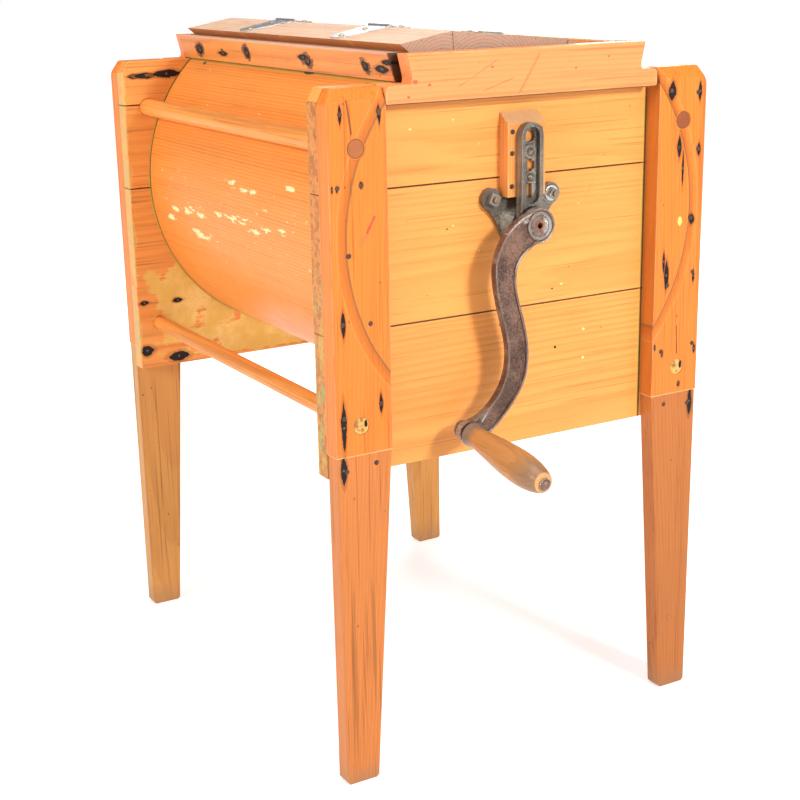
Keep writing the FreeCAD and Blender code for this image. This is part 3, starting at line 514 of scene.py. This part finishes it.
# Front end boards: the grain runs across, and a dark line shows in the joints between boards.
for i, level in enumerate(("bottom", "middle", "top")):
    name = "end_board_front_" + level
    low, high = box_of(name)
    w = Wood(name + "_pine", "x", PINE, (Y0 - 0.42 - 0.07 * i, 0.36 + 0.17 * i),
             ring=(0.0046, 0.0034, 0.0030)[i], seed=1.7 * i + 3, sway=0.6, tilt=(0.0, 0.02 * (i - 1)),
             contrast=(0.75, 0.5, 0.6)[i])
    g = w.g
    w.streaks(0.14, share=0.6)
    w.specks(85.0, 0.07, 0.93).specks(60.0, 0.05, 0.95, tone=(0.95, 0.70, 0.34), strength=0.8)
    w.scratches((0, 2, 1.1), scale=(14.0, 420.0), strength=0.3)
    # painted shade with dirt in the joints between boards, as dark lines
    w.seam(2, [(high[2],), (low[2], high[2]), (low[2],)][i], 0.0009)
    for x, z, rx, rz in BOARD_CHIPS:
        w.stain(at_front_board(x, z), (rx / 1000, 0.004, rz / 1000), tone=(0.92, 0.66, 0.28), halo=False,
                dent=0.3)
    for x, z, rx, rz in BOARD_HOLES:
        w.stain(at_front_board(x, z), (rx / 1000, 0.004, rz / 1000), halo=False)
    w.paint(((g.x - 0.1735).abs() + w.patch * 0.012).step(0.0006, 0.0026, 1.0, 0.0) * 0.8, SEAM_PAINT)
    # painted shade with dirt in the joints by the legs, as dark lines
    w.seam(0, (0.1755, -0.1765), 0.0016)
    # the board's own end, beside the left leg: hatched end grain with old green paint
    end = (g.x - low[0]).step(0.0004, 0.0012, 1.0, 0.0)
    w.paint(end * 0.9, g.mix(w.streak.step(-0.05, 0.1), (0.56, 0.205, 0.045), (0.38, 0.12, 0.026)))
    hatch = g.noise(1.0, g.vec(0.0, (g.y + g.z) * 26.0, (g.z - g.y * 1.4) * 330.0), detail=2.0)
    w.paint(end * hatch.step(0.52, 0.6) * 0.35, (0.22, 0.075, 0.02))
    daub = g.noise((10.0, 160.0, 26.0), detail=4.0, rough=0.65)
    lower = g.z.step(0.56, 0.60, 1.0, 0.0)
    w.paint(end * lower * daub.step(0.54, 0.60) * 0.7, (0.24, 0.36, 0.13))
    w.paint(end * lower * daub.step(0.40, 0.44, 1.0, 0.0) * 0.7, SEAM_PAINT)
    dress(name, w.grime(0.25).done(coat=0.06))

# Black marks on the inner face of the back boards, in metres: x and z, half width and half height.
BACK_MARKS = {
    "top": (((-0.229, 0.7506), (0.011, 0.0035)), ((-0.212, 0.751), (0.018, 0.0042)),
            ((-0.184, 0.752), (0.022, 0.0055)), ((-0.236, 0.681), (0.010, 0.0035)),
            ((-0.222, 0.679), (0.014, 0.0045)), ((-0.206, 0.676), (0.010, 0.0045))),
    "middle": (((-0.228, 0.600), (0.013, 0.005)), ((-0.236, 0.525), (0.006, 0.0045)),
               ((-0.196, 0.521), (0.010, 0.006))),
    "bottom": (((-0.2355, 0.4495), (0.008, 0.004)), ((-0.187, 0.4475), (0.008, 0.004)),
               ((-0.236, 0.3827), (0.011, 0.008)), ((-0.190, 0.3688), (0.017, 0.008))),
}

# Back end boards: darker inside, with stained nails, seam paint and mustard residue.
for i, level in enumerate(("bottom", "middle", "top")):
    name = "end_board_back_" + level
    w = Wood(name + "_pine", "x", BACK_TONES, (Y0 + 0.9, 0.30 + 0.19 * i), ring=0.0046,
             seed=2.1 * i + 7, sway=0.7)
    g = w.g
    low, high = box_of(name)
    w.streaks(0.3)
    w.specks(90.0, 0.08, 0.9)
    # painted shade with dirt in the joints between boards, as dark lines
    w.seam(2, [(high[2],), (low[2], high[2]), (low[2],)][i], 0.0009)
    inner = (g.y - BACK_IN).abs().step(0.0008, 0.003, 1.0, 0.0)
    if level == "bottom":
        field = (((g.x + 0.17) / 0.062).power(2.0) + ((g.z - 0.452) / 0.055).power(2.0)).power(0.5)
        trail = (((g.x + 0.06) / 0.17).power(2.0) + ((g.z - 0.392) / 0.035).power(2.0)).power(0.5)
        lower = (field.min(trail) + w.patch * 2.2 + w.streak * 0.8).step(0.75, 0.95, 1.0, 0.0)
        mustard = g.mix(w.patch.step(-0.1, 0.2), (0.66, 0.42, 0.09), (0.80, 0.58, 0.19))
        w.paint(lower * inner * 0.85, mustard, 0.2)
    round_tub = (from_axis(g) - TUB_GROOVE_R).abs()
    w.paint((round_tub + w.patch * 0.006).step(0.0006, 0.0022, 1.0, 0.0) * inner * 0.75, SEAM_PAINT)
    for (x, z), (rx, rz) in BACK_MARKS[level]:
        for side in (-1, 1):
            w.stain((side * abs(x), BACK_IN, z), (rx, 0.004, rz))
    for edge in (low[0], high[0]):
        near = (g.x - edge).abs() + w.patch * 0.02 + w.speck * 0.004
        w.paint(near.step(0.0008, 0.0030, 1.0, 0.0) * 0.45, (0.74, 0.48, 0.14))
        w.paint(near.step(0.0, 0.0010, 1.0, 0.0) * 0.25, (0.30, 0.30, 0.10))
    w.grime(0.4)
    dress(name, w.done(coat=0.05))

# Black marks where the leg nails have bled, in mm: x and z, half width and half height.
# The back legs repeat the front ones'.
LEG_MARKS = {
    "left": (((-230, 744), (2.0, 11)), ((-185, 743), (2.0, 12)), ((-235.5, 671), (1.8, 4)),
             ((-241, 671), (1.5, 4)), ((-207.7, 673), (2.4, 4)), ((-223.8, 602), (2.2, 2.4)),
             ((-232.8, 531), (3.0, 15)), ((-200.6, 528.5), (2.2, 2.6)), ((-190, 441), (2.6, 12)),
             ((-235.2, 420), (3.6, 29))),
    "right": (((196, 743), (5.0, 12)), ((236, 741), (3.0, 13)), ((208, 680), (3.6, 14)),
              ((214, 655), (1.6, 22)), ((237, 675), (3.2, 9)), ((230.7, 595), (3.4, 7)),
              ((194.5, 532), (3.4, 18)), ((190, 549), (1.8, 14)), ((235.4, 527), (2.0, 9)),
              ((191.6, 438), (2.2, 5)), ((180.5, 447), (1.6, 4)), ((218.5, 397.5), (2.6, 4)),
              ((240.5, 438), (2.2, 6))),
}

# Legs and feet: redder wood with its grain upright.
for end in ("front", "back"):
    for side, s in (("left", -1), ("right", 1)):
        name = f"leg_{end}_{side}"
        y = FRONT_Y if end == "front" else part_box(name)[1].y
        w = Wood(name + "_pine", "z", LEG_PINE, (s * 0.13, Y0 - 0.30 if end == "front" else Y0 + 0.62),
                 ring=0.0048, seed=s * 2.3 + (5 if end == "front" else 9), sway=1.1,
                 tilt=(0.02 * s, 0.05), contrast=0.34)
        low, high = box_of(name)
        # painted shade: a wide darker band along the leg's arrises, then narrow lighter rubbed arrises
        w.edge_wear_and_shade(low, high, width=0.0045, strength=0.55, tone=(0.50, 0.165, 0.05))
        w.edge_wear_and_shade(low, high, width=0.0012, strength=0.4)
        w.streaks(0.22)
        # painted shade: the leg's inner side, facing the other leg, is darkened
        inner_side_shade = (w.g.normal()[0] * -s).step(0.6, 0.9)
        w.paint(inner_side_shade * 0.6, (0.42, 0.135, 0.025))
        w.specks(80.0, 0.08, 0.9, tone=(0.25, 0.05, 0.02))
        w.scratches((0, 2, 0.5), scale=(420.0, 14.0), strength=0.25)
        w.seam(2, (low[2],), 0.0009, (0.70, 0.46, 0.20), 0.8)
        if end == "front":
            # The scribed arc: painted shade across its groove, a painted shadow along its inner edge and a
            # painted highlight along its outer edge.
            track = from_axis(w.g) + w.patch * 0.0016
            shade = track.step(0.2255, 0.2265) - track.step(0.2275, 0.2375)
            w.paint(shade * 0.5, scaled(LEG_PINE[1], 0.62))
            w.paint((track - 0.2262).abs().step(0.0003, 0.0016, 1.0, 0.0) * 0.75, (0.20, 0.10, 0.035), 0.05)
            w.paint((track - 0.2378).abs().step(0.0002, 0.0010, 1.0, 0.0) * 0.12, (0.80, 0.50, 0.26))
        for (x, z), (rx, rz) in LEG_MARKS[side]:
            w.stain((x / 1000, y, z / 1000), (rx / 1000, 0.005, rz / 1000))
        if name == "leg_front_left":
            w.line(at_front(-224, 772), at_front(-217, 722), 0.0012, (0.16, 0.05, 0.02), 0.85)
            w.line(at_front(-192, 641), at_front(-203, 622), 0.0022, (0.86, 0.03, 0.04), 0.75, 0.0)
            w.line(at_front(-203, 622), at_front(-211, 610), 0.0034, (0.90, 0.12, 0.07), 0.35, 0.0)
        if name == "leg_front_right":
            w.line(at_front(212.3, 471), at_front(214, 434), 0.001, (0.05, 0.02, 0.012), 0.95)
            w.stain(at_front(212, 594), (0.0035, 0.004, 0.006), tone=(0.80, 0.55, 0.16), halo=False,
                    dent=0.0)
        w.grime(0.45)
        dress(name, w.done(coat=0.06), 0.0013)
        name = f"foot_{end}_{side}"
        tones = FOOT_PINE if end == "front" else BACK_FOOT_PINE
        if name == "foot_front_right":
            tones = tuple(scaled(tone, 0.8) for tone in tones)
        w = Wood(name + "_pine", "z", tones, (s * 0.16, Y0 - 0.36 if end == "front" else Y0 + 0.7),
                 ring=0.0034, seed=s * 1.1 + (15 if end == "front" else 19), sway=0.8,
                 tilt=(0.03 * s, 0.03), contrast=0.4)
        low, high = box_of(name)
        # painted shade: a wide darker band along the foot's arrises
        w.edge_wear_and_shade(low, high, width=0.004, strength=0.5, tone=(0.44, 0.16, 0.05))
        w.streaks(0.55, (0.26, 0.085, 0.02))
        w.seam(2, (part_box(f"leg_{end}_{side}")[0].z,), 0.0009, (0.70, 0.46, 0.20), 0.8)
        w.stain((s * 0.2368, y, 0.373), (0.0042, 0.005, 0.018))
        w.specks(80.0, 0.09, 0.9, tone=(0.2, 0.06, 0.03))
        w.paint((w.g.z + w.patch * 0.05).step(0.0, 0.035, 1.0, 0.0) * 0.5, (0.33, 0.19, 0.10), 0.15)
        w.grime(0.5)
        dress(name, w.done(coat=0.05), 0.0013)

# Stay rods: their ends show as round plugs in the legs, the lower ones split at the heart.
for name in ("rod_upper_left", "rod_upper_right", "rod_lower_left", "rod_lower_right"):
    w = Wood(name + "_wood", "y", ROD_TONES, (0.8, 0.3), ring=0.003, seed=4.0 + len(name), sway=0.4)
    low, high = box_of(name)
    g = w.g
    w.specks(120.0, 0.1, 0.85, tone=(0.25, 0.08, 0.03)).streaks(0.55, (0.50, 0.15, 0.035), 0.52)
    off = [(g.x - (low[0] + high[0]) / 2), (g.z - (low[2] + high[2]) / 2)]
    reach = (off[0] * off[0] + off[1] * off[1]).power(0.5) + w.speck * 0.0006
    ends = g.normal()[1].abs().step(0.6, 0.8)
    if "upper" in name:
        w.paint(ends, g.mix(w.patch.step(-0.1, 0.15), (0.27, 0.075, 0.025), (0.38, 0.12, 0.04)))
    else:
        w.paint(ends, g.mix(w.streak.step(-0.05, 0.12), (0.72, 0.38, 0.10), (0.34, 0.15, 0.045)))
        split = blot((off[0], off[1]), (0.0055, 0.002), (0.0022, 0.0045), w.ragged)
        w.paint(ends * split, WOOD_BLACK)
    w.paint(ends * reach.step(0.0093, 0.0098), LEG_PINE[0])
    w.paint(ends * (reach - 0.0096).abs().step(0.0003, 0.0009, 1.0, 0.0) * 0.7, (0.09, 0.035, 0.015))
    dress(name, w.grime(0.35).done(coat=0.06), 0.0004)

# Tub: thin bent wood, chipped down to pale bare wood in places.
# Chips on its left side: y in mm, angle above the axis in degrees, relative length and height.
TUB_CHIPS = (
    (182, -7.1, 5, 2.5), (134.4, -5.8, 7, 3), (103.9, -6.9, 6, 2.5), (46, -4.0, 4, 2),
    (-5.2, -4.2, 8, 3), (-36.3, 6.3, 9, 2.5), (-58.9, -6.1, 6, 2.5), (105.7, -13.5, 9, 3),
    (-150.9, 10.5, 4, 2), (202.7, -11.0, 6, 2.5), (-134.2, -3.2, 4, 2), (-0.4, 7.5, 5, 2),
    (-34.5, -3.1, 6, 2), (-87.9, -4.2, 5, 2),
)
w = Wood("tub_bent_wood", "y", TUB_PINE, None, ring=0.0042, seed=8.0, sway=0.35, contrast=0.8, fibres=0.55)
g = w.g
chip_noise = g.noise((60.0, 42.0, 170.0), detail=6.0, rough=0.72)
for y, degrees, ry, rz in TUB_CHIPS:
    turn = math.radians(degrees)
    place = (-TUB_R * math.cos(turn), Y0 + y / 1000, AXIS[2] + TUB_R * math.sin(turn))
    reach = (0.02, ry / 330, rz / 620)
    chip = blot(g.point, place, reach, w.ragged + (chip_noise - 0.46) * 7.0)
    w.paint(chip, (0.93, 0.68, 0.33), 0.15, 0.6)
band = ((g.z - AXIS[2] + 0.018) / 0.05).abs().step(0.4, 1.2, 1.0, 0.0)
w.paint(chip_noise.step(0.645, 0.655) * band * 0.8, (0.93, 0.66, 0.30), 0.2, 0.5)
w.paint(chip_noise.step(0.61, 0.65) * band * 0.3, (0.92, 0.50, 0.17))
w.specks(70.0, 0.06, 0.93, tone=(0.97, 0.80, 0.5), strength=0.8)
rim = (g.y - (Y0 + TUB_HALF_L)).abs().min((g.y - (Y0 - TUB_HALF_L)).abs())
w.paint((rim + w.patch * 0.006).step(0.0006, 0.0022, 1.0, 0.0) * 0.75, SEAM_PAINT)
# painted shade with dirt where the tub meets the end boards, as dark lines
w.seam(1, (Y0 + 0.2632, Y0 - 0.2632), 0.0012)
w.paint((g.z + w.patch * 0.006 + w.speck * 0.002).step(0.7672, 0.7690) * 0.55, SEAM_PAINT)
for y, z, ry in ((0.2107, 0.7665, 0.005), (-0.0805, 0.7695, 0.016)):
    w.stain((-0.1515, Y0 + y, z), (0.012, ry, 0.002), tone=(0.10, 0.085, 0.05), halo=False)
w.scratches((1, 2, 0.12), scale=(11.0, 300.0), tone=(0.50, 0.18, 0.05), strength=0.3)
dress("tub_wall", w.done(coat=0.06), 0)

# Hopper sides: nails along the foot of each, in metres: y, z, half length, half height.
SIDE_MARKS = (
    (0.2203, 0.7836, 0.011, 0.008), (0.148, 0.7815, 0.012, 0.003), (0.0737, 0.7856, 0.008, 0.008),
    (-0.0878, 0.7832, 0.011, 0.0075), (-0.078, 0.7868, 0.012, 0.003), (-0.2214, 0.7843, 0.010, 0.0075),
    (-0.2568, 0.7826, 0.014, 0.004), (-0.27, 0.79, 0.010, 0.003),
)
for s, name in ((-1, "hopper_side_left"), (1, "hopper_side_right")):
    w = Wood(name + "_pine", "y", SIDE_PINE, (0.76, s * 0.5), ring=0.004, seed=6.0 + s, sway=0.7)
    w.paint((w.g.z + w.patch * 0.003).step(0.7975, 0.7995) * 0.8, SIDE_PINE[2], 0.2)
    w.paint((w.g.z + w.patch * 0.005).step(0.7703, 0.7716, 1.0, 0.0) * 0.6, SEAM_PAINT)
    # painted shade with dirt along the board's foot, as a dark line
    w.seam(2, (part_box(name)[0].z,), 0.0009)
    for y, z, ry, rz in SIDE_MARKS:
        w.stain((s * 0.1528, Y0 + y, z), (0.016, ry * 1.2, rz * 1.15), tone=(0.016, 0.011, 0.009),
                blunt=rz > 0.005)
    # painted shade: a near-black band of gap shade at the board's front end, by the rail
    front_gap_shade = (w.g.y - (Y0 - 0.279)).abs() + w.patch * 0.03
    w.paint(front_gap_shade.step(0.002, 0.006, 1.0, 0.0) * 0.9, WOOD_BLACK, 0.1)
    w.grime(0.4).specks(80.0, 0.08, 0.9)
    dress(name, w.done(coat=0.08))

# Hopper rails: flecked, with a few marks and scratches of their own on the front one.
RAIL_FLECKS = ((-142, 772, 2.2), (-125, 768, 1.6), (-150, 757, 1.4), (-48, 782, 1.3), (60, 776, 1.2),
               (104, 786, 1.1))
RAIL_SCRATCHES = (((12, 795), (-16, 751)), ((14, 795), (-13, 753)), ((-40, 790), (-92, 763)),
                  ((-20, 770), (-60, 758)))
for end, name in (("front", "hopper_rail_front"), ("back", "hopper_rail_back")):
    w = Wood(name + "_pine", "x", RAIL_PINE, (Y0 - 1.0, 0.2), ring=0.0034, seed=2.0, sway=0.45, contrast=0.5)
    w.edge_wear_and_shade(*box_of(name), width=0.0022, strength=0.4)
    w.streaks(0.2)
    # painted shade with dirt along the rail's foot, as a dark line
    w.seam(2, (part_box(name)[0].z,), 0.0016)
    w.specks(75.0, 0.09, 0.86, tone=(0.55, 0.14, 0.06), strength=0.6)
    w.specks(140.0, 0.1, 0.9, tone=(0.6, 0.2, 0.08))
    if end == "front":
        for x, z, r in RAIL_FLECKS:
            w.stain(at_front(x, z), (r * 0.0016, 0.03, r * 0.0012), tone=(0.50, 0.12, 0.05), halo=False,
                    dent=0.1)
        for start, stop in RAIL_SCRATCHES:
            w.line(at_front(*start), at_front(*stop), 0.0007, (0.52, 0.13, 0.05), 0.7)
    w.scratches((0, 2, 0.6), scale=(18.0, 420.0), tone=(0.55, 0.15, 0.06), strength=0.4)
    dress(name, w.done(coat=0.06))

# Block behind the latch: its sloping top shows paler end grain.
w = Wood("block_pine", "z", BLOCK_PINE, (0.25, Y0 - 0.1), ring=0.0026, seed=1.0, sway=0.3, contrast=0.7)
w.edge_wear_and_shade(*box_of("bearing_block"), width=0.002, strength=0.5)
end_grain = w.g.mix(w.late, (0.80, 0.50, 0.26), (0.55, 0.28, 0.12))
w.paint(w.g.normal()[2].step(0.3, 0.6) * 0.75, end_grain, 0.2)
dress("bearing_block", w.grime(0.3).done(coat=0.06))

# Lid: bare pinkish tops, orange bevelled edges, grey end grain with curved rings.
for i, name in enumerate(("lid_flap_left", "lid_centre", "lid_flap_right")):
    centre_x = (-0.112, -0.006, 0.098)[i]
    w = Wood(name + "_wood", "y", LID_TONES, (0.775 - 0.012 * i, centre_x + (0.02, -0.035, 0.01)[i]),
             ring=0.0035, seed=1.3 * i + 2, sway=0.5, contrast=0.6)
    g = w.g
    w.paint((w.streak + w.patch).step(0.1, 0.4) * 0.4, (0.46, 0.25, 0.16))
    nx, ny, nz = g.normal()
    w.paint(ny.abs().step(0.7, 0.9) * 0.9, g.mix(w.late * 0.7, (0.44, 0.29, 0.21), (0.27, 0.17, 0.12)), 0.1)
    if name != "lid_centre":
        w.paint(nz.step(0.35, 0.75, 1.0, 0.0) * ny.abs().step(0.5, 0.8, 1.0, 0.0) * 0.9, LID_TONES[2])
    crack = g.noise((520.0, 14.0, 520.0), w.offset, detail=1.0)
    w.paint(crack.step(0.70, 0.74) * 0.6, (0.16, 0.08, 0.05), 0.1, 0.5)
    w.paint(w.patch.step(0.02, 0.2) * 0.35, (0.80, 0.42, 0.20))
    w.specks(110.0, 0.09, 0.85, tone=(0.26, 0.14, 0.09))
    w.scratches((0, 1, 0.25), scale=(40.0, 16.0), share=0.70, tone=(0.30, 0.15, 0.10), strength=0.45)
    w.grime(0.35, tone=(0.2, 0.12, 0.09))
    dress(name, w.done(coat=0.0, rough_add=0.2), 0.001)

# Hand grip: handled brown wood, dark at the collar and the far end.
w = Wood("grip_wood", "y", GRIP_TONES, (0.2, 0.1), ring=0.004, seed=2.0, sway=0.5, contrast=0.4)
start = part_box("grip")[1].y
w.paint((start - w.g.y + w.patch * 0.02).step(0.010, 0.024, 1.0, 0.0) * 0.85, (0.15, 0.115, 0.09), -0.08)
w.paint((start - w.g.y + w.patch * 0.03).step(0.095, 0.125) * 0.7, (0.21, 0.13, 0.08), -0.08)
far_end = (start - w.g.y).step(0.1355, 0.1368)
w.paint(far_end * 0.9, (0.66, 0.33, 0.12), 0.1)
dress("grip", w.grime(0.3).done(coat=0.3), 0)

# Dasher: bare scrubbed wood.
DASHER_GRAIN = {"dasher_shaft": "y", "dasher_ribs": "x", "dasher_floats": "y", "dasher_pegs": "z"}
for name, axis in DASHER_GRAIN.items():
    w = Wood(name + "_wood", axis, DASHER_TONES, (0.3, 0.2), ring=0.0035, seed=3.0)
    dress(name, w.grime(0.3).done(coat=0.0, rough_add=0.25), 0.0008)

# Metal parts.
for name in ("crank_bearing", "latch_slide", "rear_bearing"):
    dress(name, iron, 0.0009, 3)
for name in ("crank_arm", "crank_shaft", "dasher_socket", "dasher_gudgeon"):
    dress(name, crank_iron, 0.0007)
dress("grip_spindle", crank_iron, 0.0003)
for name in ("hinge_straps_left", "hinge_straps_right", "hinge_plates_left", "hinge_plates_right",
             "hinge_pins_left", "hinge_pins_right"):
    dress(name, zinc, 0.0003)
dress("bearing_washer", bright, 0.0003)
for name in ("bearing_nuts", "latch_screws", "latch_washers", "rear_bearing_screws"):
    dress(name, dull, 0.0003)
dress("bearing_bolts", bolt_end, 0.0002)
for name in ("lid_centre_screws", "lid_left_screws", "lid_right_screws"):
    dress(name, brass, 0.0002)
for name in ("leg_nails", "hopper_nails", "block_nails"):
    dress(name, nail_iron, 0.0003)


# ------------------------------------------------------------------ floor, light and camera

def plane(name, size, z):
    mesh = bpy.data.meshes.new(name)
    h = size / 2
    mesh.from_pydata([(-h, -h, z), (h, -h, z), (h, h, z), (-h, h, z)], [], [(0, 1, 2, 3)])
    obj = bpy.data.objects.new(name, mesh)
    bpy.context.scene.collection.objects.link(obj)
    return obj


floor = plane("studio_floor", 40.0, -0.0005)
g = Graph("floor_paper")
far = (g.x * g.x + g.y * g.y).power(0.5).step(0.6, 2.6)
paper = g.mix(g.noise(4.0, detail=3.0), (0.80, 0.80, 0.81), (0.83, 0.83, 0.84))
floor.data.materials.append(g.finish(paper, 0.8, g.noise(60.0), 0.0001))
g.bsdf.inputs["Emission Color"].default_value = WHITE
g.feed(g.bsdf.inputs["Emission Strength"], far * FLOOR_GLOW_FAR + FLOOR_GLOW)


def area_light(name, place, target, size, power):
    data = bpy.data.lights.new(name, "AREA")
    data.energy = power
    data.size = size
    obj = bpy.data.objects.new(name, data)
    obj.location = place
    obj.rotation_euler = (Vector(target) - Vector(place)).to_track_quat("-Z", "Y").to_euler()
    bpy.context.scene.collection.objects.link(obj)


# The sky lights the object softly; the camera sees plain white behind it.
world = bpy.data.worlds.new("studio")
world.use_nodes = True
tree = world.node_tree
soft = tree.nodes["Background"]
soft.inputs[0].default_value = WHITE
soft.inputs[1].default_value = SKY
plain = tree.nodes.new("ShaderNodeBackground")
plain.inputs[0].default_value = WHITE
choose = tree.nodes.new("ShaderNodeMixShader")
tree.links.new(tree.nodes.new("ShaderNodeLightPath").outputs["Is Camera Ray"], choose.inputs[0])
tree.links.new(soft.outputs[0], choose.inputs[1])
tree.links.new(plain.outputs[0], choose.inputs[2])
tree.links.new(choose.outputs[0], tree.nodes["World Output"].inputs[0])
bpy.context.scene.world = world

for light in LIGHTS:
    area_light(*light)


def aim(yaw, pitch, roll):
    """Turn of a camera that looks along +Y at zero yaw and pitch, rolled about its own view."""
    forward = Vector((-math.sin(yaw) * math.cos(pitch), math.cos(yaw) * math.cos(pitch), -math.sin(pitch)))
    right = Vector((math.cos(yaw), math.sin(yaw), 0))
    up = right.cross(forward)
    right_rolled = right * math.cos(roll) + up * math.sin(roll)
    up_rolled = up * math.cos(roll) - right * math.sin(roll)
    return Matrix((right_rolled, up_rolled, -forward)).transposed().to_4x4()


cam_data = bpy.data.cameras.new("camera")
cam_data.lens = CAMERA_LENS
cam_data.sensor_width = CAMERA_SENSOR
cam_data.clip_end = 50.0
camera = bpy.data.objects.new("camera", cam_data)
bpy.context.scene.collection.objects.link(camera)
camera.matrix_world = Matrix.Translation(CAMERA_PLACE) @ aim(CAMERA_YAW, CAMERA_PITCH, CAMERA_ROLL)
bpy.context.scene.camera = camera
bpy.context.scene.view_settings.view_transform = "Standard"
